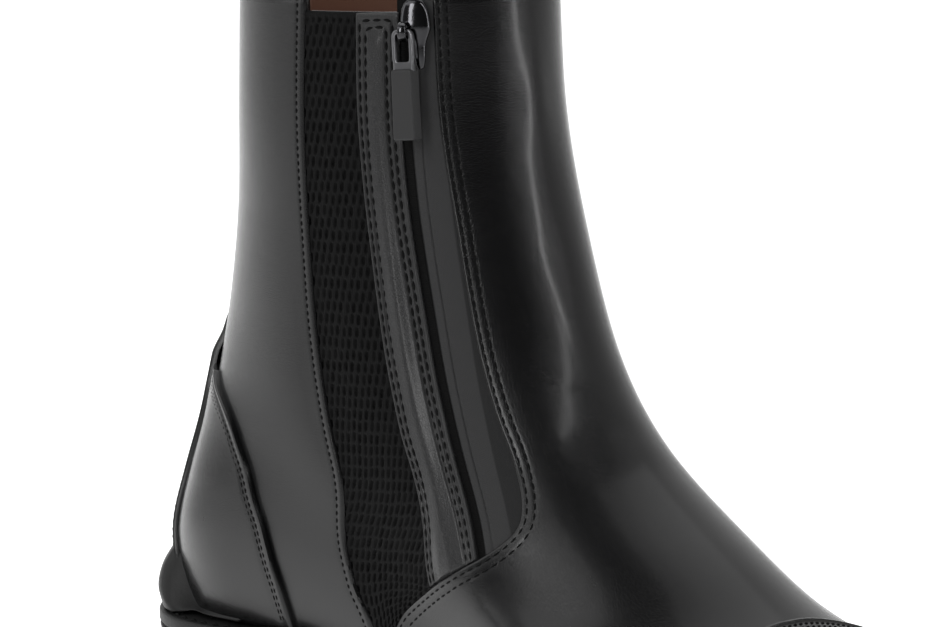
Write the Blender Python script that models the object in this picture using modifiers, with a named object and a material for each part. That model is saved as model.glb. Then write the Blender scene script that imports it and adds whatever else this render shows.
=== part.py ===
"""Black leather zip ankle boot with an elastic gore, spur rest and toe cap: a right boot, size about EU 38.

Sizes are in millimetres and are turned into metres when a mesh is made. X runs to the toe, Y to the
inner side, Z up from the floor. The origin is under the middle of the heel.
"""

import math

import bmesh
import bpy
import numpy as np
from mathutils import Matrix, Vector

MM = 0.001

# Wall and gaps
WALL = 2.8
GAP = 0.35
OVERLAY_GAP = 0.5
GAP_ROUND = 0.0014
OVERLAY = 1.2
BACKSTAY_THICK = 1.2
RECESS = 1.5
ROUND_STEPS = 60

# Foot
HEEL_CENTRE = 33.0
HEEL_SEAT = 32.0
BALL_DROP = 21.0
TOE_SPRING = 9.0
TOE_SWING = 9.0
ARCH_IN = 6.0
HEEL_AT, WAIST_AT, BALL_AT = 0.10, 0.40, 0.70
END_POWER = 2.4

# Sole and heel
SOLE_GAP = 0.4
HEEL_TOP = 25.0
HEEL_BREAST = 72.0
TREAD_BACK, TREAD_FRONT = 132.0, 205.0
TOE_LIFT = 9.0
RIM, HEEL_FLARE = 4.2, 6.0
INSOLE_THICK, INSOLE_INSET, INSOLE_LIFT = 3.0, 1.2, 0.2

# Zip slider and pull
SLIDER_ROUND, SLIDER_LEVEL = 0.3645, 0.965
SLIDER_WIDE, SLIDER_LONG, SLIDER_HIGH = 7.4, 15.0, 2.6
BRIDGE_SHIFT = -2.7
PULL_HIGH = 5.0
PULL_TWIST = 20.0
PULL_WIDE, FRAME_THICK, FRAME_LONG = 6.0, 1.6, 9.8
BLOCK_THICK, BLOCK_LONG = 4.2, 17.6
PULL_HOLE_WIDE, PULL_HOLE_LONG = 4.1, 6.6

# One row for each ring of the upper, from the feather line to the collar: x and z of its back point and of
# its front point, half widths at heel, waist and ball, share of its length in its round back and front.
RINGS = np.array([
    (3.0, 32.0, 249.0, 20.0, 29.5, 29.0, 43.0, 0.14, 0.36),
    (0.5, 44.0, 250.5, 30.0, 32.5, 32.5, 46.0, 0.15, 0.37),
    (1.2, 56.0, 229.0, 39.0, 34.0, 34.0, 45.0, 0.16, 0.40),
    (4.6, 70.0, 197.0, 49.0, 34.0, 34.5, 41.0, 0.21, 0.42),
    (8.4, 85.0, 171.5, 66.0, 32.5, 35.0, 37.5, 0.27, 0.45),
    (11.0, 101.0, 149.0, 85.0, 32.0, 35.0, 36.0, 0.36, 0.48),
    (14.5, 119.0, 134.0, 107.0, 33.0, 35.0, 35.5, 0.44, 0.50),
    (17.5, 143.0, 123.0, 137.0, 34.0, 35.0, 35.0, 0.50, 0.50),
    (19.0, 170.0, 115.0, 168.0, 34.5, 35.0, 35.0, 0.50, 0.50),
    (20.0, 198.0, 112.0, 201.2, 34.5, 35.0, 35.0, 0.50, 0.50),
])
LEVELS = np.linspace(0, 1, len(RINGS))

# Seams on the outer side: at each level, the share of the way round from the back.
SEAM_COLUMNS = ("level", "gore_rear", "placket_rear", "placket_front", "panel_edge")
SEAMS = np.array([
    (0.06, 0.199, 0.222, 0.270, 0.202),
    (0.10, 0.199, 0.227, 0.275, 0.208),
    (0.15, 0.200, 0.234, 0.283, 0.215),
    (0.20, 0.201, 0.242, 0.288, 0.225),
    (0.25, 0.205, 0.250, 0.293, 0.241),
    (0.30, 0.210, 0.259, 0.298, 0.262),
    (0.35, 0.216, 0.268, 0.304, 0.287),
    (0.40, 0.223, 0.277, 0.311, 0.319),
    (0.45, 0.228, 0.284, 0.318, 0.348),
    (0.50, 0.232, 0.290, 0.325, 0.363),
    (0.55, 0.235, 0.293, 0.331, 0.372),
    (0.60, 0.237, 0.296, 0.335, 0.373),
    (0.70, 0.239, 0.299, 0.340, 0.377),
    (0.80, 0.241, 0.300, 0.341, 0.380),
    (0.90, 0.246, 0.303, 0.346, 0.380),
    (1.00, 0.251, 0.306, 0.350, 0.380),
])
COLLAR_DIP = 0.981

# Half spread of the heel counter and of the backstay at each level, from the back.
COUNTER = np.array([
    (0.00, 0.156), (0.10, 0.156), (0.20, 0.158), (0.30, 0.160), (0.40, 0.155),
    (0.47, 0.138), (0.50, 0.119), (0.515, 0.101), (0.53, 0.075),
])
BACKSTAY = np.array([
    (0.00, 0.073), (0.14, 0.073), (0.20, 0.067), (0.30, 0.063), (0.40, 0.061),
    (0.50, 0.060), (0.57, 0.055), (0.62, 0.042), (0.64, 0.026),
])
COUNTER_TOP, BACKSTAY_TOP = 0.53, 0.64
SPUR_TOP, SPUR_FLAT, SPUR_FALL, SPUR_END = 0.175, 0.0667, 0.0222, 0.125
SPUR_LOW, SPUR_SIDE = 0.019, 0.026
SPUR_BULGE, SPUR_EDGE, SPUR_THIN = 9.0, 3.8, 3.2
CAP_X, CAP_GAP = 194.0, 0.6


def smooth(t):
    """0 below 0, 1 above 1, an even S between."""
    t = np.clip(t, 0, 1)
    return t * t * (3 - 2 * t)


def ring(v):
    """The ring table's columns at level v: a cubic through the rows, with the mean slope at each row."""
    v = np.asarray(v, float)
    step = LEVELS[1]
    sides = np.diff(RINGS, axis=0) / step
    slope = np.vstack([sides[:1], (sides[:-1] + sides[1:]) / 2, sides[-1:]])
    i = np.clip((v / step).astype(int), 0, len(RINGS) - 2)
    t = (v / step - i)[..., None]
    start, end = RINGS[i], RINGS[i + 1]
    return (
        start * (2 * t**3 - 3 * t**2 + 1)
        + slope[i] * step * (t**3 - 2 * t**2 + t)
        + end * (3 * t**2 - 2 * t**3)
        + slope[i + 1] * step * (t**3 - t**2)
    )


def feather(x):
    """Height of the line where upper and sole meet: heel seat, fall to the ball, toe spring."""
    rise = TOE_SPRING * np.clip((x - 185) / 64, 0, None) ** 2
    return HEEL_SEAT - BALL_DROP * smooth((x - 50) / 125) + rise


def surface(u, v):
    """Outer face of the upper: u goes round from the back by the outer side, v up from the feather line."""
    u, v = np.broadcast_arrays(np.asarray(u, float) % 1.0, np.asarray(v, float))
    back_x, back_z, front_x, front_z, heel, waist, ball, back_round, front_round = np.moveaxis(ring(v), -1, 0)
    side = np.where(u < 0.5, -1.0, 1.0)
    along = (1 - np.cos(2 * np.pi * np.minimum(u, 1 - u))) / 2
    width = heel + (waist - heel) * smooth((along - HEEL_AT) / (WAIST_AT - HEEL_AT))
    width = width + (ball - waist) * smooth((along - WAIST_AT) / (BALL_AT - WAIST_AT))
    power_back = 2 + (END_POWER - 2) * np.clip((0.5 - back_round) / 0.2, 0, 1)
    power_front = 2 + (END_POWER - 2) * np.clip((0.5 - front_round) / 0.1, 0, 1)
    to_back = np.clip(1 - along / back_round, 0, 1) ** power_back
    to_front = np.clip(1 - (1 - along) / front_round, 0, 1) ** power_front
    width = width * np.sqrt((1 - to_back) * (1 - to_front))
    x = back_x + along * (front_x - back_x)
    z = back_z + along * (front_z - back_z)
    first = RINGS[0]
    straight = first[1] + (x - first[0]) / (first[2] - first[0]) * (first[3] - first[1])
    z = z + (1 - smooth(v / 0.42)) * (feather(np.clip(x, first[0], first[2])) - straight)
    arch = ARCH_IN * (1 - smooth(v / 0.5)) * np.exp(-(((along - 0.42) / 0.14) ** 2)) * (side > 0)
    swing = TOE_SWING * np.clip((x - 110) / 150, 0, None) ** 1.6
    return np.stack([x - HEEL_CENTRE, side * (width - arch) + swing, z], -1)


def normal(u, v):
    """Unit vector out of the upper's outer face."""
    step = 1e-4
    across = surface(u + step, v) - surface(u - step, v)
    up = surface(u, v + step) - surface(u, v - step)
    out = np.cross(across, up)
    return out / np.linalg.norm(out, axis=-1, keepdims=True)


def skin(u, v, out):
    """The outer face moved out by a distance."""
    u, v, out = np.broadcast_arrays(np.asarray(u, float), np.asarray(v, float), np.asarray(out, float))
    return surface(u, v) + normal(u, v) * out[..., None]


def column(table, columns, name, v):
    """One named column of a table whose first column is the level."""
    return np.interp(v, table[:, 0], table[:, columns.index(name)])


def spread(table, v):
    return np.interp(v, table[:, 0], table[:, 1])


def spur_top(u):
    """Level of the spur rest's upper edge, high at the back and down to the feather line at the sides."""
    return SPUR_SIDE + (SPUR_TOP - SPUR_SIDE) * (1 - smooth((np.abs(u) - SPUR_FLAT) / SPUR_FALL))


def grid_faces(rows, columns, closed=False):
    """Quads of a grid whose points run row by row."""
    index = np.arange(rows * columns).reshape(rows, columns)
    if closed:
        index = np.hstack([index, index[:, :1]])
    quads = (index[:-1, :-1], index[:-1, 1:], index[1:, 1:], index[1:, :-1])
    return np.stack(quads, -1).reshape(-1, 4)


def mesh_object(name, points, faces, collection):
    """An object from points in millimetres, with doubled points joined and its faces turned outwards."""
    mesh = bpy.data.meshes.new(name)
    mesh.from_pydata((np.asarray(points) * MM).tolist(), [], [list(map(int, face)) for face in faces])
    work = bmesh.new()
    work.from_mesh(mesh)
    bmesh.ops.remove_doubles(work, verts=work.verts, dist=1e-6)
    bmesh.ops.dissolve_degenerate(work, edges=work.edges, dist=1e-7)
    bmesh.ops.recalc_face_normals(work, faces=work.faces)
    work.to_mesh(mesh)
    work.free()
    made = bpy.data.objects.new(name, mesh)
    collection.objects.link(made)
    return made


def slab(name, u, v, inner, outer, collection):
    """A solid between two distances from the upper's face, over a grid of places (u, v) on it."""
    rows, columns = u.shape
    low = skin(u, v, inner).reshape(-1, 3)
    high = skin(u, v, outer).reshape(-1, 3)
    faces = grid_faces(rows, columns)
    count = rows * columns
    index = np.arange(count).reshape(rows, columns)
    edge = np.concatenate([index[0, :-1], index[:-1, -1], index[-1, :0:-1], index[:0:-1, 0]])
    after = np.roll(edge, -1)
    walls = np.stack([edge, after, after + count, edge + count], -1)
    return mesh_object(name, np.vstack([low, high]), np.vstack([faces, faces + count, walls]), collection)


def strip(left, right, levels, columns):
    """Places on the upper between two lines u(level), as a grid with a row for each level."""
    share = np.linspace(0, 1, columns)
    u = left[:, None] + (right - left)[:, None] * share
    return u, np.repeat(levels[:, None], columns, 1)


def outline(half, out):
    """Plan of the feather line moved out level, from back (0) to toe (1): the outer side, then the inner."""
    sides = []
    for u in (half / 2, 1 - half / 2):
        here = surface(u, 0.0)
        ahead = surface(u + 1e-4, 0.0) - surface(u - 1e-4, 0.0)
        away = np.stack([ahead[:, 1], -ahead[:, 0]], -1)
        away = away / np.linalg.norm(away, axis=-1, keepdims=True)
        sides.append(here[:, :2] + away * out[:, None])
    return sides


def plate(name, half, rows, collection):
    """A sole-shaped solid: each row gives the distance out and a height function, from the top face down."""
    loops = []
    for out, height in rows:
        outer, inner = outline(half, out)
        loops.append([np.column_stack([side, height(side[:, 0] + HEEL_CENTRE)]) for side in (outer, inner)])
    around = [loop[0] for loop in loops] + [loop[1] for loop in loops[::-1]]
    points = np.stack(around, 1).reshape(-1, 3)
    return mesh_object(name, points, grid_faces(len(half), len(around), closed=True), collection)


def box(name, size, centre, collection, bevel=0.0):
    """A block with its edges rounded, in its own frame."""
    made = bpy.data.objects.new(name, bpy.data.meshes.new(name))
    work = bmesh.new()
    bmesh.ops.create_cube(work, size=1.0)
    bmesh.ops.scale(work, vec=Vector(size) * MM, verts=work.verts)
    bmesh.ops.translate(work, vec=Vector(centre) * MM, verts=work.verts)
    work.to_mesh(made.data)
    work.free()
    collection.objects.link(made)
    if bevel:
        round_edges = made.modifiers.new("round edges", "BEVEL")
        round_edges.width = bevel * MM
        round_edges.segments = 2
    return made


def combine(target, tool, operation):
    """Joins or cuts with a helper object, which stays out of the render."""
    step = target.modifiers.new(operation.lower(), "BOOLEAN")
    step.operation = operation
    step.solver = "EXACT"
    step.object = tool
    tool.hide_render = True
    tool.display_type = "WIRE"


def material(name, colour, roughness, metallic=0.0):
    made = bpy.data.materials.new(name)
    made.use_nodes = True
    shader = made.node_tree.nodes["Principled BSDF"]
    shader.inputs["Base Color"].default_value = (*colour, 1.0)
    shader.inputs["Roughness"].default_value = roughness
    shader.inputs["Metallic"].default_value = metallic
    return made


for old in list(bpy.data.objects):
    bpy.data.objects.remove(old, do_unlink=True)
boot = bpy.data.collections.new("zip_ankle_boot")
cutters = bpy.data.collections.new("cutters")
for made in (boot, cutters):
    bpy.context.scene.collection.children.link(made)
cutters.hide_render = True

# Upper: one wall from the feather line to the collar
around = np.arange(ROUND_STEPS) / ROUND_STEPS
levels = np.concatenate([np.linspace(0, 0.36, 9), np.linspace(0.36, 1, 12)[1:]])
round_grid, level_grid = np.meshgrid(around, levels)
faces = grid_faces(len(levels), len(around), closed=True)
upper = mesh_object("upper", surface(round_grid, level_grid).reshape(-1, 3), faces, boot)
wall = upper.modifiers.new("wall", "SOLIDIFY")
wall.thickness = WALL * MM
wall.offset = -1

# Recess on the outer side for gore, placket and zip, and the lower collar above them
window = np.concatenate([np.linspace(0.085, 0.55, 19), np.linspace(0.55, 1.03, 9)[1:]])
rear = column(SEAMS, SEAM_COLUMNS, "gore_rear", window)
front = column(SEAMS, SEAM_COLUMNS, "panel_edge", window)
u, v = strip(rear, front, window, 9)
combine(upper, slab("recess_cutter", u, v, -RECESS, 4.0, cutters), "DIFFERENCE")
dip = np.array([COLLAR_DIP, 1.04])
rear = column(SEAMS, SEAM_COLUMNS, "gore_rear", dip) + 0.002
front = column(SEAMS, SEAM_COLUMNS, "placket_front", dip)
u, v = strip(rear, front, dip, 7)
combine(upper, slab("collar_cutter", u, v, -7.0, 5.0, cutters), "DIFFERENCE")


def window_piece(name, rear_name, front_name, bottom, top, inner, outer, columns):
    """A panel of the window between two seams, cut off below by the front panel's edge."""
    rows = np.concatenate([np.linspace(bottom, 0.55, 14), np.linspace(0.55, top, 8)[1:]])
    edge = column(SEAMS, SEAM_COLUMNS, "panel_edge", rows)
    left = column(SEAMS, SEAM_COLUMNS, rear_name, rows) + GAP_ROUND
    right = np.minimum(column(SEAMS, SEAM_COLUMNS, front_name, rows), edge) - GAP_ROUND
    u, v = strip(left, right, rows, columns)
    return slab(name, u, v, inner, outer, boot)


floor = -RECESS + GAP
gore = window_piece("elastic_gore", "gore_rear", "placket_rear", 0.10, COLLAR_DIP, floor, -0.2, 5)
placket_top = COLLAR_DIP + 0.004
placket = window_piece("zip_placket", "placket_rear", "placket_front", 0.31, placket_top, floor, 0.6, 4)
tape = window_piece("zip_tape", "placket_front", "panel_edge", 0.40, 0.98, floor, -0.5, 4)

# Spur rest: a rounded ledge round the back of the heel
fall = (-4.67, -4.33, 4.33, 4.67)
columns = np.sort(np.append(np.arange(-7, 8), fall)) / ROUND_STEPS
columns = np.append(np.insert(columns, 0, -SPUR_END), SPUR_END)
rise = np.linspace(0, 1, 7)
u = np.repeat(columns[None], len(rise), 0)
low = SPUR_LOW * (1 - 0.6 * smooth((np.abs(u) - 0.07) / 0.05))
v = low + rise[:, None] * (spur_top(u) - low - 0.004)
ledge = SPUR_EDGE + (SPUR_BULGE - SPUR_EDGE) * (1 - smooth((rise[:, None] - 0.25) / 0.75))
bulge = SPUR_THIN + (ledge - SPUR_THIN) * (1 - smooth((np.abs(u) - 0.07) / 0.05))
spur_rest = slab("spur_rest", u, v, GAP, bulge, boot)

# Heel counter and backstay, which end on the spur rest
columns = np.sort(np.append(np.arange(-10, 11), fall)) / ROUND_STEPS
rise = np.append(np.linspace(0, 0.86, 10), (0.92, 0.97, 1.0))[:, None]
low = spur_top(columns) + 0.006
v = low + rise * (COUNTER_TOP - low)
u = np.clip(columns, -spread(COUNTER, v), spread(COUNTER, v))
counter = slab("heel_counter", u, v, OVERLAY_GAP, OVERLAY_GAP + OVERLAY, boot)

columns = np.arange(-5, 6) / ROUND_STEPS
rise = np.linspace(0, 1, 18)[:, None]
low = spur_top(np.clip(columns, -BACKSTAY[0, 1], BACKSTAY[0, 1])) + 0.006
v = low + rise * (BACKSTAY_TOP - low)
u = np.clip(columns, -spread(BACKSTAY, v), spread(BACKSTAY, v))
under = OVERLAY_GAP + (OVERLAY + OVERLAY_GAP) * (1 - smooth((v - COUNTER_TOP - 0.012) / 0.05))
backstay = slab("backstay", u, v, under, under + BACKSTAY_THICK, boot)

# Toe cap: from its seam across the vamp to the feather line round the toe
trial = np.linspace(0.1, 0.6, 200)
cap_level = float(np.interp(-CAP_X, -ring(trial)[:, 2], trial))
share = np.linspace(-1, 1, 23)
seam_v = 0.014 + (cap_level - 0.014) * (1 - share**2)
trial = np.linspace(0.25, 0.5, 400)
seam_u = np.array([np.interp(CAP_X - HEEL_CENTRE, surface(trial, level)[:, 0], trial) for level in seam_v])
seam_u = np.where(share > 0, 1 - seam_u, seam_u)
toe_u = seam_u[0] + (seam_u[-1] - seam_u[0]) * (share + 1) / 2
down = np.linspace(0, 1, 10)[:, None]
u = seam_u * (1 - down) + toe_u * down
v = seam_v * (1 - down) + 0.012 * down
toe_cap = slab("toe_cap", u, v, CAP_GAP, CAP_GAP + OVERLAY, boot)

# Outsole: rim, groove and tread, with a flat under the ball and the waist lifted to the heel
half = (1 - np.cos(np.linspace(0, np.pi, 41))) / 2
half = np.arccos(1 - 2 * half) / np.pi


def heel_flare(half):
    """How much further the sole stands out round the heel, to carry the spur rest."""
    return HEEL_FLARE * (1 - smooth((half - 0.14) / 0.22))


def tread(x):
    """Height of the sole's under side."""
    waist = HEEL_TOP * (1 - smooth((x - 78) / (TREAD_BACK - 78)))
    return waist + TOE_LIFT * np.clip((x - TREAD_FRONT) / 48, 0, None) ** 1.7


def sole_row(out, share):
    """A row of the sole's side: its distance out and its height between the top face and the tread."""
    return out + heel_flare(half), lambda x: (feather(x) - SOLE_GAP) * (1 - share) + tread(x) * share


sole_rows = [
    sole_row(RIM - 1.0, 0.0), sole_row(RIM, 0.12), sole_row(RIM, 0.45), sole_row(RIM - 1.0, 0.5),
    sole_row(RIM - 1.0, 0.6), sole_row(RIM - 0.2, 0.65), sole_row(RIM - 1.0, 1.0),
]
outsole = plate("outsole", half, sole_rows, boot)

# Heel block: the sole's rear plan, cut off at the breast and a little smaller at the floor
seat = np.linspace(0, 1, 200)
outer_side, inner_side = outline(seat, RIM - 0.6 + heel_flare(seat))
HEEL_ROWS = ((HEEL_TOP - GAP, 1.00, 0.0), (HEEL_TOP - 2.0, 1.01, 0.0), (4.0, 0.97, 3.0), (0.0, 0.95, 4.0))
loops = []
for height, size, breast_back in HEEL_ROWS:
    end = HEEL_BREAST - HEEL_CENTRE - breast_back
    stations = (1 - np.cos(np.linspace(0, np.pi / 2, 12))) * (end - outer_side[0, 0]) + outer_side[0, 0]
    far = np.column_stack([stations, np.interp(stations, outer_side[:, 0], outer_side[:, 1])])
    near = np.column_stack([stations, np.interp(stations, inner_side[:, 0], inner_side[:, 1])])
    loop = np.vstack([far[::-1], near[1:]]) * size
    loops.append(np.column_stack([loop, np.full(len(loop), height)]))
count = len(loops[0])
points = np.vstack(loops)
walls = grid_faces(len(loops), count, closed=True).tolist()
caps = [list(range(count)), list(range((len(loops) - 1) * count, len(loops) * count))]
heel = mesh_object("heel", points, walls + caps, boot)

# Insole inside the wall
inset = np.full_like(half, -(WALL + INSOLE_INSET))
insole_rows = [
    (inset, lambda x: feather(x) + INSOLE_LIFT + INSOLE_THICK),
    (inset, lambda x: feather(x) + INSOLE_LIFT),
]
insole = plate("insole", half[::2], [(out[::2], height) for out, height in insole_rows], boot)

# Zip slider on the top of the tape, with the bridge that the pull hangs on
top = surface(SLIDER_ROUND, SLIDER_LEVEL)
low = surface(SLIDER_ROUND - 0.004, SLIDER_LEVEL - 0.115)
down = Vector(low - top).normalized()
out = Vector(normal(SLIDER_ROUND, SLIDER_LEVEL - 0.05))
across = out.cross(down).normalized()
out = down.cross(across).normalized()
slider_frame = Matrix((across, -down, out)).transposed().to_4x4()
slider_frame.translation = Vector(top) * MM
slider = box("zip_slider", (SLIDER_WIDE, SLIDER_LONG, SLIDER_HIGH), (0, 0, SLIDER_HIGH / 2), boot, 0.9)
bridge = box("bridge", (1.8, 5.2, 7.4 - 1.2), (BRIDGE_SHIFT, 0, (7.4 + 1.2) / 2), cutters, 0.5)
bridge_hole = box("bridge_hole", (3.0, 3.2, 3.2), (BRIDGE_SHIFT, 0, PULL_HIGH - 0.2), cutters)
combine(slider, bridge, "UNION")
combine(slider, bridge_hole, "DIFFERENCE")
for made in (slider, bridge, bridge_hole):
    made.matrix_world = slider_frame

# Zip pull: a frame round the bridge and a solid block below it, hung on the frame's top bar
hinge = slider_frame @ Vector((BRIDGE_SHIFT * MM, 0, PULL_HIGH * MM))
pull_frame = slider_frame @ Matrix.Rotation(math.radians(-PULL_TWIST), 4, "Y")
pull_frame.translation = hinge
block_middle = (0, -FRAME_LONG - BLOCK_LONG / 2 + 0.5, 0)
pull = box("zip_pull", (PULL_WIDE, BLOCK_LONG, BLOCK_THICK), block_middle, boot, 0.5)
bar_middle = (0, -FRAME_LONG / 2 + 0.3, 0)
frame_bar = box("pull_frame", (PULL_WIDE, FRAME_LONG + 0.6, FRAME_THICK), bar_middle, cutters, 0.4)
hole_middle = (0, -PULL_HOLE_LONG / 2 - 0.6, 0)
frame_hole = box("pull_hole", (PULL_HOLE_WIDE, PULL_HOLE_LONG, 4.0), hole_middle, cutters)
combine(pull, frame_bar, "UNION")
combine(pull, frame_hole, "DIFFERENCE")
for made in (pull, frame_bar, frame_hole):
    made.matrix_world = pull_frame

leather = material("black_leather", (0.012, 0.012, 0.013), 0.28)
matt_leather = material("black_strip_leather", (0.014, 0.014, 0.015), 0.35)
elastic = material("black_elastic", (0.012, 0.012, 0.012), 0.8)
zip_fabric = material("zip_band", (0.03, 0.03, 0.032), 0.5)
metal = material("dark_nickel", (0.10, 0.10, 0.11), 0.25, 1.0)
pull_paint = material("pull_paint", (0.035, 0.035, 0.037), 0.45)
rubber = material("black_rubber", (0.015, 0.016, 0.016), 0.5)
tan = material("tan_leather", (0.10, 0.05, 0.03), 0.6)
for made, skin_material in (
    (upper, leather), (toe_cap, leather), (counter, leather), (backstay, matt_leather), (placket, leather),
    (gore, elastic), (tape, zip_fabric), (slider, metal), (pull, pull_paint), (insole, tan),
    (spur_rest, rubber), (outsole, rubber), (heel, rubber),
):
    made.data.materials.append(skin_material)
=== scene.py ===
# %% [markdown]
# # A black zip ankle boot
# This lesson dresses the plain solids of a right ankle boot: smooth black leather, a zip with an elastic gore
# beside it on the outer side, a stitched toe cap and heel counter, a spur rest, and a rubber sole. The solids
# come in as a fixed frame, and every finer piece is laid over them in the same place.

# %% Load the frame
import math

import bmesh
import bpy
import numpy as np
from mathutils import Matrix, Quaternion, Vector


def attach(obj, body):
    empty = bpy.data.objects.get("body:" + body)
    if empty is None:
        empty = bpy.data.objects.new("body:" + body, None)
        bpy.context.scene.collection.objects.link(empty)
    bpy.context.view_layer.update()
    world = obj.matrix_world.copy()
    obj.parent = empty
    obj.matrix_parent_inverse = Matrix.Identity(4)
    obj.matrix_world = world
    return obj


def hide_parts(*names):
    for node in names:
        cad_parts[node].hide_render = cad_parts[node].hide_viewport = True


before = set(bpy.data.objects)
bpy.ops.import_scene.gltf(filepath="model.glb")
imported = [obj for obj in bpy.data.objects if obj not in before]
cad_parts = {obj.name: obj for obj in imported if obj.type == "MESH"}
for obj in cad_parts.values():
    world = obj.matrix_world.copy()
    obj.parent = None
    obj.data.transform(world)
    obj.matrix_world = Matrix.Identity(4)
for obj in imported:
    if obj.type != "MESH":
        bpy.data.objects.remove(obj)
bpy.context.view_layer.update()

MM = 0.001

# %% [markdown]
# ## The last
# A shoe is built over a last, the wooden foot that gives it its shape. It could be sculpted, but a table of
# rings is easier to change: each row is one closed ring from the feather line, where the sole starts, up to
# the collar. A smooth surface through the rings then places every panel, seam and stitch of the boot.

# %% The last's rings
# back x and z, front x and z, half widths at heel, waist and ball, shares of round back and round front
RINGS = np.array([
    (3.0, 32.0, 249.0, 20.0, 29.5, 29.0, 43.0, 0.14, 0.36),
    (0.5, 44.0, 250.5, 30.0, 32.5, 32.5, 46.0, 0.15, 0.37),
    (1.2, 56.0, 229.0, 39.0, 34.0, 34.0, 45.0, 0.16, 0.40),
    (4.6, 70.0, 197.0, 49.0, 34.0, 34.5, 41.0, 0.21, 0.42),
    (8.4, 85.0, 171.5, 66.0, 32.5, 35.0, 37.5, 0.27, 0.45),
    (11.0, 101.0, 149.0, 85.0, 32.0, 35.0, 36.0, 0.36, 0.48),
    (14.5, 119.0, 134.0, 107.0, 33.0, 35.0, 35.5, 0.44, 0.50),
    (17.5, 143.0, 123.0, 137.0, 34.0, 35.0, 35.0, 0.50, 0.50),
    (19.0, 170.0, 115.0, 168.0, 34.5, 35.0, 35.0, 0.50, 0.50),
    (20.0, 198.0, 112.0, 201.2, 34.5, 35.0, 35.0, 0.50, 0.50),
])
LEVELS = np.linspace(0, 1, len(RINGS))


def smooth(t):
    """0 below 0, 1 above 1, and the S curve 3t^2 - 2t^3 between."""
    t = np.clip(t, 0, 1)
    return t * t * (3 - 2 * t)


def bell(x, width):
    """A soft bump: e to the minus (x / width) squared."""
    return np.exp(-((x / width) ** 2))


def ring(v):
    """The table's columns at level v: a cubic through the rows, each row's slope the mean of its sides."""
    v = np.asarray(v, float)
    step = LEVELS[1]
    sides = np.diff(RINGS, axis=0) / step
    slope = np.vstack([sides[:1], (sides[:-1] + sides[1:]) / 2, sides[-1:]])
    i = np.clip((v / step).astype(int), 0, len(RINGS) - 2)
    t = (v / step - i)[..., None]
    return (
        RINGS[i] * (2 * t**3 - 3 * t**2 + 1)
        + slope[i] * step * (t**3 - 2 * t**2 + t)
        + RINGS[i + 1] * (3 * t**2 - 2 * t**3)
        + slope[i + 1] * step * (t**3 - t**2)
    )


# %% The last's surface
HEEL_CENTRE = 33.0
HEEL_SEAT, SEAT_END = 32.0, 50.0
BALL_DROP, DROP_LONG = 21.0, 125.0
TOE_SPRING, SPRING_FROM, SPRING_LONG = 9.0, 185.0, 64.0
TOE_SWING, SWING_FROM, SWING_LONG, SWING_POWER = 9.0, 110.0, 150.0, 1.6
ARCH_IN, ARCH_AT, ARCH_WIDE, ARCH_FADE = 6.0, 0.42, 0.14, 0.5
FEATHER_FADE = 0.42
HEEL_AT, WAIST_AT, BALL_AT = 0.10, 0.40, 0.70
END_POWER, BACK_BLEND, FRONT_BLEND = 2.4, 0.2, 0.1


def feather(x):
    """Height of the feather line: the heel seat, an S curve to the ball, and a parabola up to the toe."""
    rise = TOE_SPRING * np.clip((x - SPRING_FROM) / SPRING_LONG, 0, None) ** 2
    return HEEL_SEAT - BALL_DROP * smooth((x - SEAT_END) / DROP_LONG) + rise


def surface(u, v):
    """Outer face: u goes once round from the back by the outer side, v from the feather line to the collar.

    A ring's half width is its base width times the square roots of one minus a power of the distance into its
    round back and into its round front, so that both ends close like a superellipse.
    """
    u, v = np.broadcast_arrays(np.asarray(u, float) % 1.0, np.asarray(v, float))
    back_x, back_z, front_x, front_z, heel, waist, ball, back_round, front_round = np.moveaxis(ring(v), -1, 0)
    side = np.where(u < 0.5, -1.0, 1.0)
    along = (1 - np.cos(2 * np.pi * np.minimum(u, 1 - u))) / 2
    width = heel + (waist - heel) * smooth((along - HEEL_AT) / (WAIST_AT - HEEL_AT))
    width = width + (ball - waist) * smooth((along - WAIST_AT) / (BALL_AT - WAIST_AT))
    power_back = 2 + (END_POWER - 2) * np.clip((0.5 - back_round) / BACK_BLEND, 0, 1)
    power_front = 2 + (END_POWER - 2) * np.clip((0.5 - front_round) / FRONT_BLEND, 0, 1)
    to_back = np.clip(1 - along / back_round, 0, 1) ** power_back
    to_front = np.clip(1 - (1 - along) / front_round, 0, 1) ** power_front
    width = width * np.sqrt((1 - to_back) * (1 - to_front))
    x = back_x + along * (front_x - back_x)
    z = back_z + along * (front_z - back_z)
    first = RINGS[0]
    straight = first[1] + (x - first[0]) / (first[2] - first[0]) * (first[3] - first[1])
    z = z + (1 - smooth(v / FEATHER_FADE)) * (feather(np.clip(x, first[0], first[2])) - straight)
    arch = ARCH_IN * (1 - smooth(v / ARCH_FADE)) * bell(along - ARCH_AT, ARCH_WIDE) * (side > 0)
    swing = TOE_SWING * np.clip((x - SWING_FROM) / SWING_LONG, 0, None) ** SWING_POWER
    return np.stack([x - HEEL_CENTRE, side * (width - arch) + swing, z], -1)


# %% Slopes and distances from the surface
def slopes(u, v):
    """How the surface point moves with u and with v: central differences."""
    step = 1e-4
    by_u = (surface(u + step, v) - surface(u - step, v)) / (2 * step)
    by_v = (surface(u, v + step) - surface(u, v - step)) / (2 * step)
    return by_u, by_v


def unit(vectors):
    """Vectors scaled to length 1."""
    return vectors / np.linalg.norm(vectors, axis=-1, keepdims=True)


def skin(u, v, out):
    """The surface moved along its normal, the cross product of its two slopes, by a distance out."""
    u, v, out = np.broadcast_arrays(np.asarray(u, float), np.asarray(v, float), np.asarray(out, float))
    by_u, by_v = slopes(u, v)
    return surface(u, v) + unit(np.cross(by_u, by_v)) * out[..., None]


print("last from heel to toe in mm:", round(float(np.ptp(surface(np.linspace(0, 1, 99), 0.1)[:, 0]))))

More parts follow.
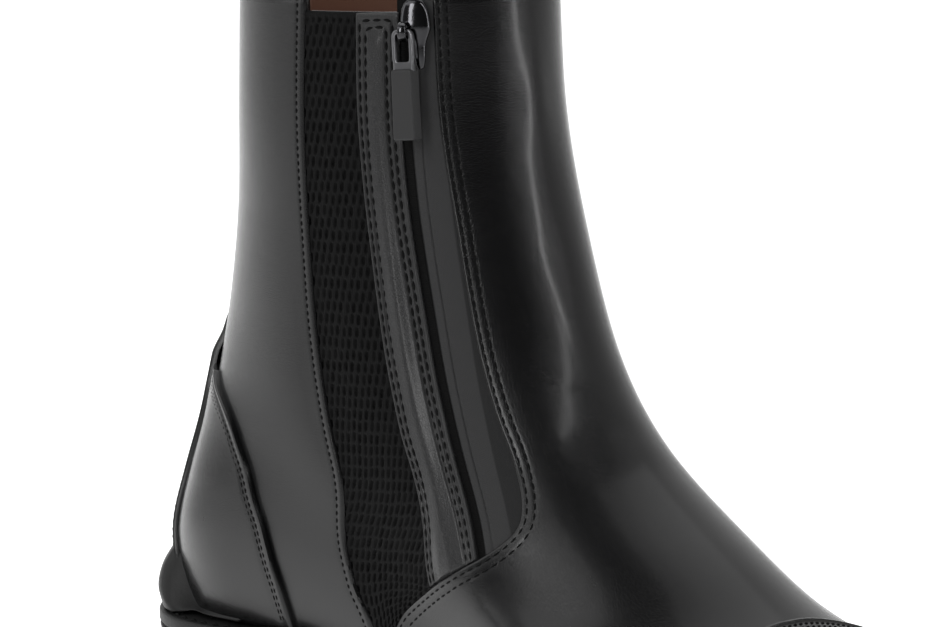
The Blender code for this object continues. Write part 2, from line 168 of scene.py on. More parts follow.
# %% [markdown]
# ## The seams
# Each seam on the outer side is a line up the boot: at every level it lies a certain share of the way round.
# The seams could be curves drawn in space, but as shares they stay on the leather when the last changes.

# %% The table of seams
SEAM_NAMES = ("gore_rear", "placket_rear", "placket_front", "panel_edge")
# level, then the share of the way round of each named seam
SEAMS = np.array([
    (0.00, 0.1985, 0.215, 0.260, 0.1995),
    (0.06, 0.1990, 0.222, 0.270, 0.2015),
    (0.10, 0.1990, 0.227, 0.275, 0.2080),
    (0.15, 0.2000, 0.234, 0.283, 0.2145),
    (0.20, 0.2010, 0.242, 0.288, 0.2250),
    (0.25, 0.2045, 0.250, 0.293, 0.2410),
    (0.30, 0.2095, 0.259, 0.298, 0.2615),
    (0.35, 0.2155, 0.268, 0.304, 0.2870),
    (0.40, 0.2225, 0.277, 0.311, 0.3190),
    (0.45, 0.2280, 0.284, 0.318, 0.3475),
    (0.50, 0.2315, 0.290, 0.325, 0.3630),
    (0.55, 0.2350, 0.293, 0.331, 0.3720),
    (0.60, 0.2370, 0.296, 0.335, 0.3735),
    (0.70, 0.2390, 0.299, 0.340, 0.3770),
    (0.80, 0.2410, 0.300, 0.341, 0.3800),
    (0.90, 0.2460, 0.303, 0.346, 0.3800),
    (1.00, 0.2510, 0.306, 0.350, 0.3800),
])
COLLAR_DIP = 0.981
SEAM_SOFT, SOFT_STEPS = 0.02, 9
NEAR_LEVELS = np.linspace(-SEAM_SOFT, SEAM_SOFT, SOFT_STEPS)


def seam(name, v):
    """Where a seam lies at level v: the table's share, its corners rounded by a mean over near levels."""
    column = SEAMS[:, 1 + SEAM_NAMES.index(name)]
    levels = np.clip(np.asarray(v, float)[..., None] + NEAR_LEVELS, 0, 1)
    return np.interp(levels, SEAMS[:, 0], column).mean(-1)


def spread(table, v):
    """Half spread from the back at level v, read between the rows of a short table."""
    return np.interp(v, table[:, 0], table[:, 1])


print("seams:", ", ".join(SEAM_NAMES))

# %% [markdown]
# ## The photo's camera
# The camera stands in front of the boot's outer side, a little above the floor, with a long lens, as for a
# product shot. Its place is given as a turn, a rise and a distance from one point on the boot.

# %% Camera
CAMERA_TURN, CAMERA_RISE = math.radians(42.0), math.radians(8.3)
CAMERA_TARGET = Vector((0.058, 0.0, 0.116))
CAMERA_FAR = 1.1
LENS, SENSOR = 164.3, 36.0


def direction(turn, rise):
    """Unit vector at a turn from the outer side and a rise above the floor: its sines and cosines."""
    return Vector((
        math.sin(turn) * math.cos(rise),
        -math.cos(turn) * math.cos(rise),
        math.sin(rise),
    ))


to_camera = direction(CAMERA_TURN, CAMERA_RISE)
camera = bpy.data.objects.new("camera", bpy.data.cameras.new("camera"))
camera.data.lens, camera.data.sensor_width, camera.data.sensor_fit = LENS, SENSOR, "HORIZONTAL"
camera.data.clip_start, camera.data.clip_end = 0.01, 50.0
camera.location = CAMERA_TARGET + to_camera * CAMERA_FAR
camera.rotation_euler = to_camera.to_track_quat("Z", "Y").to_euler()
bpy.context.scene.collection.objects.link(camera)
bpy.context.scene.camera = camera
print("camera at", [round(c, 3) for c in camera.location])

# %% [markdown]
# ## Mesh tools
# Every piece is a grid of points worked out as whole arrays. These helpers turn a grid into faces, close a
# grid and its under side into a solid, and make the object that rides on the boot.

# %% Grids and slabs
def grid_quads(rows, columns, closed_rows=False, closed_columns=False):
    """Corners of each cell of a grid whose points run row by row; a closed side joins last to first."""
    index = np.arange(rows * columns).reshape(rows, columns)
    if closed_columns:
        index = np.hstack([index, index[:, :1]])
    if closed_rows:
        index = np.vstack([index, index[:1]])
    return np.stack([index[:-1, :-1], index[:-1, 1:], index[1:, 1:], index[1:, :-1]], -1).reshape(-1, 4)


def closed_slab(top, bottom):
    """Points and quads of a solid: the top grid, the bottom grid turned over, and a wall round their edge."""
    rows, columns = top.shape[:2]
    count = rows * columns
    faces = grid_quads(rows, columns)
    index = np.arange(count).reshape(rows, columns)
    edge = np.concatenate([index[0, :-1], index[:-1, -1], index[-1, :0:-1], index[:0:-1, 0]])
    after = np.roll(edge, -1)
    wall = np.stack([after, edge, edge + count, after + count], -1)
    points = np.vstack([top.reshape(-1, 3), bottom.reshape(-1, 3)])
    return points, np.vstack([faces, faces[:, ::-1] + count, wall])


# %% Pieces from arrays
def add_attribute(mesh, name, values):
    """Stores one number for each point of a mesh under a name."""
    layer = mesh.attributes.new(name, "FLOAT", "POINT")
    layer.data.foreach_set("value", np.ascontiguousarray(values, np.float32).ravel())


def weld(mesh):
    """Joins points that lie in one place, as in an end row drawn to a point, and turns faces outwards."""
    work = bmesh.new()
    work.from_mesh(mesh)
    bmesh.ops.remove_doubles(work, verts=work.verts, dist=1e-6)
    bmesh.ops.dissolve_degenerate(work, edges=work.edges, dist=1e-7)
    bmesh.ops.recalc_face_normals(work, faces=work.faces)
    work.to_mesh(mesh)
    work.free()


def piece(
    name, points, quads, materials, slot, body="boot", stands_for=(), face_material=None, sharp=50,
    welded=False, **values,
):
    """An object from arrays in millimetres; values are named numbers for each point, read by materials."""
    mesh = bpy.data.meshes.new(name)
    mesh.vertices.add(len(points))
    mesh.vertices.foreach_set("co", np.ascontiguousarray(points * MM, np.float32).ravel())
    mesh.loops.add(quads.size)
    mesh.loops.foreach_set("vertex_index", np.ascontiguousarray(quads, np.int32).ravel())
    mesh.polygons.add(len(quads))
    mesh.polygons.foreach_set("loop_start", np.arange(0, quads.size, 4, dtype=np.int32))
    for material in materials:
        mesh.materials.append(material)
    if face_material is not None:
        mesh.polygons.foreach_set("material_index", np.ascontiguousarray(face_material, np.int32))
    mesh.update(calc_edges=True)
    for attribute, numbers in values.items():
        add_attribute(mesh, attribute, numbers)
    mesh.validate()
    if welded:
        weld(mesh)
    mesh.polygons.foreach_set("use_smooth", np.ones(len(mesh.polygons), bool))
    mesh.set_sharp_from_angle(angle=math.radians(sharp))
    made = bpy.data.objects.new(name, mesh)
    bpy.context.scene.collection.objects.link(made)
    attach(made, body)
    if stands_for:
        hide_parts(*stands_for)
    print(name, len(mesh.polygons), "faces")


# %% Distances and edges
def run_lengths(points, axis):
    """Distance travelled along one axis of a grid of points, from 0 at its start."""
    steps = np.linalg.norm(np.diff(points, axis=axis), axis=-1)
    start = np.zeros_like(np.take(steps, [0], axis))
    return np.concatenate([start, np.cumsum(steps, axis)], axis)


def edge_distances(points):
    """Distances of each grid point from the four sides of its grid: left, right, bottom, top."""
    across, along = run_lengths(points, 1), run_lengths(points, 0)
    return across, across[:, -1:] - across, along, along[-1:] - along


def rounded(distance, radius):
    """Drop of a rounded edge: radius at the edge itself, on a quarter circle to nothing one radius in."""
    into = np.clip(radius - distance, 0, radius)
    return radius - np.sqrt(radius**2 - into**2)


def gathered(count, strength=0.8):
    """Shares from 0 to 1 that lie closer together near both ends: a line blended with a cosine."""
    t = np.linspace(0, 1, count)
    return t * (1 - strength) + strength * (1 - np.cos(np.pi * t)) / 2


# %% [markdown]
# ## Leather grain, as a node group
# Polished leather looks smooth, but light shows its pores, faint wrinkles and uneven polish. One group makes
# all of these from the piece's own coordinates, so that each leather can take its own share.

# %% Node helpers
def node(tree, kind, **settings):
    """A shader node with its settings."""
    made = tree.nodes.new(kind)
    for name, value in settings.items():
        setattr(made, name, value)
    return made


def object_place(tree):
    """Coordinates of the piece itself, in metres."""
    return node(tree, "ShaderNodeTexCoord").outputs["Object"]


def group_tree(name, inputs, outputs):
    """An empty node group with named number inputs and outputs."""
    tree = bpy.data.node_groups.new(name, "ShaderNodeTree")
    for label, value in inputs.items():
        socket = tree.interface.new_socket(label, in_out="INPUT", socket_type="NodeSocketFloat")
        socket.default_value = value
    for label in outputs:
        tree.interface.new_socket(label, in_out="OUTPUT", socket_type="NodeSocketFloat")
    return tree, node(tree, "NodeGroupInput"), node(tree, "NodeGroupOutput")


def math_node(tree, operation, first, second):
    """Arithmetic on two sockets or numbers."""
    made = node(tree, "ShaderNodeMath", operation=operation)
    for socket, value in zip(made.inputs, (first, second)):
        if isinstance(value, (int, float)):
            socket.default_value = value
        else:
            tree.links.new(value, socket)
    return made.outputs["Value"]


def noise(tree, vector, scale, detail=3.0, roughness=0.5):
    """Soft noise from 0 to 1 over a linked vector."""
    made = node(tree, "ShaderNodeTexNoise")
    made.inputs["Scale"].default_value = scale
    made.inputs["Detail"].default_value = detail
    made.inputs["Roughness"].default_value = roughness
    tree.links.new(vector, made.inputs["Vector"])
    return made.outputs["Fac"]


# %% The grain group
PORE_SCALE, PORE_EDGE, PORE_GAIN = 1500.0, 0.12, 4.0
WAVE_SCALE, SHINE_SCALE, TONE_SCALE = 90.0, 160.0, 35.0
FINE_SCALE, FINE_SHARE = 900.0, 0.35


def leather_grain():
    """Height from pores, a fine network and slow waves; shine is how uneven the polish is."""
    tree, given, result = group_tree(
        "leather grain", {"Pores": 0.5, "Waves": 0.5}, ("Height", "Shine", "Tone"),
    )
    place = object_place(tree)
    cells = node(tree, "ShaderNodeTexVoronoi", feature="DISTANCE_TO_EDGE")
    cells.inputs["Scale"].default_value = PORE_SCALE
    tree.links.new(place, cells.inputs["Vector"])
    network = math_node(tree, "MINIMUM", cells.outputs["Distance"], PORE_EDGE)
    gained = math_node(tree, "MULTIPLY", network, PORE_GAIN)
    pores = math_node(tree, "MULTIPLY", gained, given.outputs["Pores"])
    waves = math_node(tree, "MULTIPLY", noise(tree, place, WAVE_SCALE, 2.0), given.outputs["Waves"])
    fine = math_node(tree, "MULTIPLY", noise(tree, place, FINE_SCALE), FINE_SHARE)
    height = math_node(tree, "ADD", math_node(tree, "ADD", pores, waves), fine)
    tree.links.new(height, result.inputs["Height"])
    tree.links.new(noise(tree, place, SHINE_SCALE, 5.0, 0.6), result.inputs["Shine"])
    tree.links.new(noise(tree, place, TONE_SCALE, 4.0), result.inputs["Tone"])
    return tree


GRAIN = leather_grain()

# %% Materials from the grain
COAT_ROUGH = 0.15


def start_material(name):
    """A material, its node tree and its main shader."""
    made = bpy.data.materials.new(name)
    made.use_nodes = True
    return made, made.node_tree, made.node_tree.nodes["Principled BSDF"]


def colour_mix(tree, factor, dark, light, socket):
    """Base colour between a dark and a light one, by a linked factor."""
    made = node(tree, "ShaderNodeMix", data_type="RGBA")
    made.inputs["A"].default_value = (*dark, 1.0)
    made.inputs["B"].default_value = (*light, 1.0)
    tree.links.new(factor, made.inputs["Factor"])
    tree.links.new(made.outputs["Result"], socket)


def bump(tree, height, depth, shader):
    """Turns a height into shading; depth is the height of 1 in metres."""
    made = node(tree, "ShaderNodeBump")
    made.inputs["Distance"].default_value = depth
    tree.links.new(height, made.inputs["Height"])
    tree.links.new(made.outputs["Normal"], shader.inputs["Normal"])


def uneven_polish(tree, shader, rough, factor):
    """Roughness between two values, by a linked factor."""
    made = node(tree, "ShaderNodeMapRange")
    made.inputs["To Min"].default_value, made.inputs["To Max"].default_value = rough
    tree.links.new(factor, made.inputs["Value"])
    tree.links.new(made.outputs["Result"], shader.inputs["Roughness"])


def leather(name, dark, light, rough, depth, pores=0.4, waves=0.6, coat=0.25):
    """A polished leather: dye between two tones, uneven roughness, grain as bump, and a thin wax coat."""
    made, tree, shader = start_material(name)
    grain = node(tree, "ShaderNodeGroup", node_tree=GRAIN)
    grain.inputs["Pores"].default_value = pores
    grain.inputs["Waves"].default_value = waves
    colour_mix(tree, grain.outputs["Tone"], dark, light, shader.inputs["Base Color"])
    uneven_polish(tree, shader, rough, grain.outputs["Shine"])
    shader.inputs["Coat Weight"].default_value = coat
    shader.inputs["Coat Roughness"].default_value = COAT_ROUGH
    bump(tree, grain.outputs["Height"], depth, shader)
    return made


black_leather = leather(
    "black_leather", (0.003, 0.003, 0.0033), (0.005, 0.005, 0.0055), (0.20, 0.30), 0.00004, 0.7, 0.9,
)
strip_leather = leather(
    "strip_leather", (0.004, 0.004, 0.0043), (0.007, 0.007, 0.0075), (0.26, 0.38), 0.00004,
)
placket_leather = leather(
    "placket_leather", (0.022, 0.022, 0.0225), (0.032, 0.032, 0.033), (0.30, 0.44), 0.00014, 0.9,
)
lining_leather = leather(
    "lining_leather", (0.16, 0.070, 0.042), (0.23, 0.105, 0.065), (0.55, 0.75), 0.00006, 0.8, 0.8, 0.0,
)
print("leathers made")

# %% [markdown]
# ## The upper
# The upper is one wall of leather with a lining behind it. On the outer side it has a window, lower by the
# leather's thickness, where gore, placket and zip lie. The whole wall could be a solidified sheet, but one
# grid that goes up the outside, over the collar and down the lining stays closed and lets each seam have its
# own step.

# %% Soft creases
WALL, WINDOW_DEEP = 2.8, 1.5
CREASE_SAG = 0.25
# level, share round, half spread round, depth in mm (below 0 for a ridge), width in level
CREASES = np.array([
    (0.600, 0.475, 0.045, 0.10, 0.014),
    (0.655, 0.470, 0.040, 0.07, 0.012),
    (0.545, 0.490, 0.060, 0.10, 0.018),
    (0.580, 0.020, 0.050, 0.12, 0.016),
    (0.905, 0.497, 0.0197, -0.60, 0.045),
    (0.765, 0.480, 0.0197, 0.30, 0.035),
])


def crease_relief(u, v):
    """Troughs and ridges of shaft and ankle: each is a bell over the level times a bell round the boot."""
    level, centre, reach, depth, width = (column[:, None, None] for column in CREASES.T)
    off = (u - centre + 0.5) % 1.0 - 0.5
    sag = CREASE_SAG * off**2 / reach
    return -(depth * bell(v - level + sag, width) * bell(off, reach)).sum(0)


# %% Rolled edges and sewn troughs
EDGE_ROUND, COLLAR_ROUND = 0.9, 1.1
PANEL_STITCH = (1.7, 3.8)
QUARTER_STITCH = 2.4
COLLAR_STITCH = 2.4
TROUGH, TROUGH_WIDE = 0.20, 0.50
PANEL_TROUGH, QUARTER_TROUGH, COLLAR_TROUGH = 0.35 * TROUGH, 0.5 * TROUGH, 0.6 * TROUGH
FOOT_LIFT, LIFT_FADE, LIFT_WIDE = 0.6, (0.52, 0.12), 7.0
SEAM_STEP = 0.004


def foot_lift(v, from_front):
    """How far the panel's edge stands up where it laps over placket and zip: a bell from the edge in."""
    return FOOT_LIFT * smooth((LIFT_FADE[0] - v) / LIFT_FADE[1]) * bell(from_front, LIFT_WIDE)


def slant(name, v):
    """Millimetres for a step round at a seam, and the sine of the angle between the seam and its ring."""
    here = seam(name, v)
    by_u, by_v = slopes(here, v)
    rise = (seam(name, v + SEAM_STEP) - seam(name, v - SEAM_STEP)) / (2 * SEAM_STEP)
    seam_way = by_u * rise[:, None] + by_v
    cross = np.linalg.norm(np.cross(by_u, seam_way), axis=-1)
    speed = np.linalg.norm(by_u, axis=-1)
    return speed, cross / speed / np.linalg.norm(seam_way, axis=-1)


def leather_relief(v, from_front, from_rear, from_collar):
    """Edges rolled over, and a trough under each row of stitches."""
    out = foot_lift(v, from_front) - rounded(from_front, EDGE_ROUND) - rounded(from_rear, EDGE_ROUND)
    out = out - rounded(from_collar, COLLAR_ROUND)
    for row in PANEL_STITCH:
        out = out - PANEL_TROUGH * bell(from_front - row, TROUGH_WIDE)
    out = out - QUARTER_TROUGH * bell(from_rear - QUARTER_STITCH, TROUGH_WIDE)
    return out - COLLAR_TROUGH * bell(from_collar - COLLAR_STITCH, TROUGH_WIDE)


# %% The outside of the wall
UPPER_ROWS, SIDE_COLUMNS = 230, 210
# rows gathered just under the collar, and their smallest and largest distance from it in levels
COLLAR_ROWS, COLLAR_NEAR, COLLAR_REACH = 12, 0.0008, 0.022
# shares of the way round that are filled more finely, beside the front edge and beside the rear edge
FRONT_SHARE, FRONT_COLUMNS, REAR_SHARE, REAR_COLUMNS = 0.03, 28, 0.975, 24
levels = np.linspace(0, 1, UPPER_ROWS - COLLAR_ROWS)
levels = np.sort(np.concatenate([levels, 1 - np.linspace(COLLAR_NEAR, COLLAR_REACH, COLLAR_ROWS)]))
front_u, rear_u = seam("panel_edge", levels), 1 + seam("gore_rear", levels)
share = np.concatenate([
    np.linspace(0, FRONT_SHARE, FRONT_COLUMNS)[:-1],
    np.linspace(FRONT_SHARE, REAR_SHARE, SIDE_COLUMNS - FRONT_COLUMNS - REAR_COLUMNS + 2),
    np.linspace(REAR_SHARE, 1, REAR_COLUMNS)[1:],
])
side_u = front_u[:, None] + (rear_u - front_u)[:, None] * share
side_v = np.repeat(levels[:, None], len(share), 1)
speed_front, sine_front = slant("panel_edge", levels)
speed_rear, sine_rear = slant("gore_rear", levels)
from_front = (side_u - front_u[:, None]) * (speed_front * sine_front)[:, None]
from_rear = (rear_u[:, None] - side_u) * (speed_rear * sine_rear)[:, None]
from_collar = (1 - side_v) * np.linalg.norm(slopes(side_u, side_v)[1], axis=-1)
side_out = leather_relief(side_v, from_front, from_rear, from_collar) + crease_relief(side_u, side_v)

# %% The window, the lining and the whole upper
WINDOW_COLUMNS, LINING_ROWS, COLLAR_LIP = 8, 50, 0.5
DIP_FROM, DIP_LONG = 0.9, 0.1
window_share = np.linspace(0, 1, WINDOW_COLUMNS)
window_u = rear_u[:, None] + (front_u + 1 - rear_u)[:, None] * window_share
window_dip = (1 - COLLAR_DIP) * smooth((levels[:, None] - DIP_FROM) / DIP_LONG)
window_v = levels[:, None] - window_dip + 0 * window_share
outer_u = np.hstack([side_u, window_u])
outer_v = np.hstack([side_v, window_v])
outer_out = np.hstack([side_out, np.full_like(window_u, -WINDOW_DEEP)])
lining_at = np.linspace(UPPER_ROWS - 1, 0, LINING_ROWS).astype(int)
lining_out = np.full((LINING_ROWS, outer_u.shape[1]), -WALL)
lining_out[0] += COLLAR_LIP
grid_u = np.vstack([outer_u, outer_u[lining_at]])
grid_v = np.vstack([outer_v, outer_v[lining_at]])
grid_out = np.vstack([outer_out, lining_out])
rows, columns = grid_u.shape
quads = grid_quads(rows, columns, closed_rows=True, closed_columns=True)
is_lining = np.repeat(np.arange(rows) >= UPPER_ROWS, columns)
piece(
    "leather_upper", skin(grid_u, grid_v, grid_out).reshape(-1, 3), quads, (black_leather, lining_leather),
    "leather", stands_for=("upper",), face_material=is_lining,
)

# %% [markdown]
# ## Overlays at heel and toe
# The toe cap, the heel counter and the backstay are cut from thin leather and sewn onto the upper. Each lies
# on the same surface, a little further out, with rolled edges and a trough under its stitches.

# %% A sewn-on overlay
OVERLAY_ROUND, OVERLAY_SINK = 0.55, 0.6
OVERLAY_TROUGH = 0.8 * TROUGH
BEAD_AT, BEAD_WIDE, BESIDE_AT, BESIDE_WIDE = 0.6, 0.4, 1.5, 0.5


def overlay(name, u, v, under, thick, material, slot, stands_for, stitch_rows, sewn_sides, bead=0.0):
    """A slab on the upper: rounded edges, a bead along a folded edge, and dips under its stitches."""
    sides = dict(zip(("left", "right", "bottom", "top"), edge_distances(surface(u, v))))
    out = under + thick - rounded(np.minimum.reduce(list(sides.values())), OVERLAY_ROUND)
    sewn = np.minimum.reduce([sides[side] for side in sewn_sides])
    out = out + bead * (bell(sewn - BEAD_AT, BEAD_WIDE) - bell(sewn - BESIDE_AT, BESIDE_WIDE))
    for row in stitch_rows:
        out = out - OVERLAY_TROUGH * bell(sewn - row, TROUGH_WIDE)
    points, quads = closed_slab(skin(u, v, out), skin(u, v, under - OVERLAY_SINK))
    piece(name, points, quads, (material,), slot, stands_for=(stands_for,))


# %% Heel counter and backstay
# level, and half spread from the back as a share of the way round
COUNTER = np.array([
    (0.00, 0.156), (0.10, 0.156), (0.20, 0.158), (0.30, 0.160), (0.40, 0.155),
    (0.47, 0.138), (0.50, 0.119), (0.515, 0.101), (0.53, 0.075),
])
BACKSTAY = np.array([
    (0.00, 0.073), (0.14, 0.073), (0.20, 0.067), (0.30, 0.063), (0.40, 0.061),
    (0.50, 0.060), (0.57, 0.055), (0.62, 0.042), (0.64, 0.026),
])
COUNTER_TOP, COUNTER_UNDER, COUNTER_THICK, COUNTER_STITCH = 0.53, 0.3, 1.3, (2.2, 3.2)
BACKSTAY_TOP, BACKSTAY_THICK, BACKSTAY_STITCH = 0.64, 1.2, 1.6
# distance of the backstay from the upper, how much more over the counter, and where it comes down
STRIP_UNDER, STRIP_OVER, STEP_FROM, STEP_LONG = 0.4, 1.5, 0.012, 0.05
SEWN_ROUND = ("left", "right", "top")
SPUR_TOP, SPUR_SIDE, SPUR_FLAT, SPUR_FALL = 0.175, 0.026, 0.0667, 0.0222
UNDER_SPUR = 0.014


def spur_top(u):
    """Level of the spur rest's upper edge: even behind, then an S curve down to the sides."""
    return SPUR_SIDE + (SPUR_TOP - SPUR_SIDE) * (1 - smooth((np.abs(u) - SPUR_FLAT) / SPUR_FALL))


def soft_spread(table, v):
    """The spread with its corners rounded by a mean over near levels."""
    return spread(table, np.asarray(v, float)[..., None] + NEAR_LEVELS).mean(-1)


def heel_grid(table, top, columns, rows):
    """Places from under the spur rest's edge to a top level, as wide at each level as the table's spread."""
    share = 2 * gathered(columns) - 1
    rise = gathered(rows)[:, None]
    foot = spur_top(share * spread(table, 0.0)) - UNDER_SPUR
    v = foot + rise * (top - foot)
    return share * soft_spread(table, v), v


def backstay_under(v):
    """Distance of the backstay from the upper: raised over the counter, then an S curve down to the upper."""
    return STRIP_UNDER + STRIP_OVER * (1 - smooth((v - COUNTER_TOP - STEP_FROM) / STEP_LONG))


u, v = heel_grid(COUNTER, COUNTER_TOP, 90, 90)
overlay(
    "heel_counter_leather", u, v, np.full_like(u, COUNTER_UNDER), COUNTER_THICK, black_leather, "leather",
    "heel_counter", COUNTER_STITCH, SEWN_ROUND,
)
u, v = heel_grid(BACKSTAY, BACKSTAY_TOP, 50, 90)
overlay(
    "backstay_leather", u, v, backstay_under(v), BACKSTAY_THICK, strip_leather, "strip_leather", "backstay",
    (BACKSTAY_STITCH,), SEWN_ROUND,
)

# %% Toe cap
CAP_X, CAP_SKEW = 194.0, 0.12
CAP_STITCH, CAP_UNDER, CAP_THICK, CAP_BEAD = (2.1, 3.5), 0.4, 1.3, 0.3
CAP_COLUMNS, CAP_ROWS = 110, 70
# levels where the cap's seam and its lower edge meet the rim
CAP_END, CAP_LOW = 0.014, 0.010
cap_share = 2 * gathered(CAP_COLUMNS, 0.5) - 1
trial_levels = np.linspace(0.1, 0.6, 400)
cap_level = float(np.interp(-CAP_X, -ring(trial_levels)[:, 2], trial_levels))
cap_seam_v = CAP_END + (cap_level - CAP_END) * (1 - cap_share**2)
trial_u = np.linspace(0.25, 0.5, 600)
trial_place = surface(np.where(cap_share[:, None] > 0, 1 - trial_u, trial_u), cap_seam_v[:, None])
trial_x = trial_place[..., 0] - CAP_SKEW * (trial_place[..., 1] - surface(0.5, cap_level)[1])
beyond = np.argmax(trial_x > CAP_X - HEEL_CENTRE, axis=1)
pick = np.arange(CAP_COLUMNS)
before_x, after_x = trial_x[pick, beyond - 1], trial_x[pick, beyond]
part_way = np.clip((CAP_X - HEEL_CENTRE - before_x) / np.maximum(after_x - before_x, 1e-6), 0, 1)
cap_seam_u = np.where(beyond > 0, trial_u[beyond - 1] + part_way * (trial_u[1] - trial_u[0]), 0.5)
cap_seam_u = np.where(cap_share > 0, 1 - cap_seam_u, cap_seam_u)
toe_u = cap_seam_u[0] + (cap_seam_u[-1] - cap_seam_u[0]) * (cap_share + 1) / 2
down = gathered(CAP_ROWS)[::-1, None]
u = cap_seam_u * (1 - down) + toe_u * down
v = cap_seam_v * (1 - down) + CAP_LOW * down
overlay(
    "toe_cap_leather", u, v, np.full_like(u, CAP_UNDER), CAP_THICK, black_leather, "leather", "toe_cap",
    CAP_STITCH, ("top",), CAP_BEAD,
)

# %% [markdown]
# ## The elastic gore
# The gore is a woven elastic that lets the boot open over the foot. Its staggered rows of slots are deep
# enough to show in the outline of each shadow, so they are real dents in a fine grid and not only a painted
# pattern. A number stored at each point says how deep the weave is there, and the material paints shade into
# the slots with it.

# %% Woven elastic
GORE_COLUMNS, GORE_ROWS = 84, 520
SLOT_ACROSS, SLOT_ALONG, ROW_SHIFT = 2.2, 3.05, 0.42
SLOT_WIDE, SLOT_LONG, SLOT_DEEP = 0.56, 1.35, 0.5
SLOT_LEAN, LEAN_FROM = (0.12, 0.5), (80.0, 60.0)
# how uneven the slots are across, along and in depth, the powers of their shape, and how soft their edge is
UNEVEN, SLOT_POWER, SLOT_SOFT = (0.35, 0.5, 0.5), (2.2, 2.6), (0.3, 1.0)
GORE_OUT, GORE_TIP, GORE_GAP, TAPE_SINK = -0.55, 0.066, 0.0002, 0.2
FIRST_SLOT, GORE_HEM, HEM_SOFT, HEM_ROUND = 0.4, 1.2, 0.8, 0.5


def scatter(row, column):
    """A number from 0 to 1 for each slot that looks random: the fraction of a large sine of both."""
    large = 4375.85 * np.sin(12.99 * row + 78.23 * column)
    return large - np.floor(large)


def weave_slots(across, along):
    """1 in a slot and 0 on a rib: rounded leaning slots in uneven rows, each row shifted against the last."""
    row = np.floor(along / SLOT_ALONG)
    from_row = along - (row + 0.5) * SLOT_ALONG
    lean = SLOT_LEAN[0] + (SLOT_LEAN[1] - SLOT_LEAN[0]) * smooth((along - LEAN_FROM[0]) / LEAN_FROM[1])
    shifted = (across + lean * from_row) / SLOT_ACROSS + ROW_SHIFT * row
    column = np.floor(shifted)
    uneven = scatter(row, column) - 0.5
    from_middle = (shifted - column - 0.5) * SLOT_ACROSS + UNEVEN[0] * uneven
    from_row = from_row + UNEVEN[1] * (scatter(column, row) - 0.5)
    shape = np.abs(from_middle / SLOT_WIDE) ** SLOT_POWER[0] + np.abs(from_row / SLOT_LONG) ** SLOT_POWER[1]
    return (1 - smooth((shape - SLOT_SOFT[0]) / SLOT_SOFT[1])) * (1 + UNEVEN[2] * uneven)


def strip_places(left, right, v, columns):
    """Places between two lines at each level, evenly spread from one to the other."""
    t = np.linspace(0, 1, columns)
    return left[:, None] + (right - left)[:, None] * t, np.repeat(v[:, None], columns, 1)


# %% The gore's grid
gore_v = np.linspace(GORE_TIP, COLLAR_DIP, GORE_ROWS)
gore_right = np.minimum(seam("placket_rear", gore_v), seam("panel_edge", gore_v))
u, v = strip_places(seam("gore_rear", gore_v) + GORE_GAP, gore_right - GORE_GAP, gore_v, GORE_COLUMNS)
across, _, _, from_top = edge_distances(surface(u, v))
slots = weave_slots(across + FIRST_SLOT, from_top) * smooth((from_top - GORE_HEM) / HEM_SOFT)
gore_out = GORE_OUT - SLOT_DEEP * slots - rounded(from_top, HEM_ROUND)
points, quads = closed_slab(skin(u, v, gore_out), skin(u, v, -WINDOW_DEEP - TAPE_SINK))
# slot depth at each point, which the material also uses to paint shade into the slots
depth = np.concatenate([slots.ravel(), np.zeros(slots.size)])

# %% Elastic yarn
FIBRE_SCALE = (3000.0, 3000.0, 700.0)


def elastic_material():
    """Matt black yarn: nearly black ribs, slots darkened as painted shade, and fine fibres along the weave.
    """
    made, tree, shader = start_material("woven_elastic")
    slot = node(tree, "ShaderNodeAttribute", attribute_name="slot_depth").outputs["Fac"]
    stretch = node(tree, "ShaderNodeMapping")
    stretch.inputs["Scale"].default_value = FIBRE_SCALE
    tree.links.new(object_place(tree), stretch.inputs["Vector"])
    fibres = noise(tree, stretch.outputs["Vector"], 1.0, 3.0)
    # painted shade: the deeper a slot, the darker its yarn colour
    colour_mix(tree, slot, (0.0036, 0.0036, 0.0038), (0.0010, 0.0010, 0.0010), shader.inputs["Base Color"])
    shader.inputs["Specular IOR Level"].default_value = 0.22
    uneven_polish(tree, shader, (0.62, 0.88), fibres)
    bump(tree, fibres, 0.0002, shader)
    return made


piece(
    "gore_elastic", points, quads, (elastic_material(),), "elastic", stands_for=("elastic_gore",),
    slot_depth=depth,
)

# %% [markdown]
# ## The placket
# A padded strip of leather runs down beside the zip. Two rows of stitches along each side hold its padding,
# so it is highest in the middle.

# %% Padded strip
# distances of each row of stitches from the strip's left, right and top edge
PLACKET_ROWS = ((1.1, 1.8, 1.9), (2.7, 3.4, 3.7))
PLACKET_OUT, PLACKET_PAD, PAD_SOFT, PLACKET_ROUND, PLACKET_SINK = 0.35, 0.9, 5.0, 0.6, 0.9
PLACKET_TIP, PLACKET_TOP, PLACKET_SLOPE, PLACKET_GAP = 0.285, COLLAR_DIP, 0.001, 0.0008
UNDER_PANEL, UNDER_FROM, UNDER_SOFT, TUCKED = 1.9, 0.5, 1.2, 3.0
PLACKET_TROUGH, PLACKET_TROUGH_WIDE = 0.36, 0.45


def placket_edges(v):
    """Left and right edge of the strip at level v."""
    return seam("placket_rear", v) + PLACKET_GAP, seam("placket_front", v) - PLACKET_GAP


def past_panel(u, v):
    """Distance in mm from the front panel's edge, positive under the panel."""
    return (u - seam("panel_edge", v)) * np.linalg.norm(slopes(u, v)[0], axis=-1)


def placket_place(share, v):
    """Place round the boot of a share of the strip's width at level v."""
    left, right = placket_edges(v)
    return left + (right - left) * share


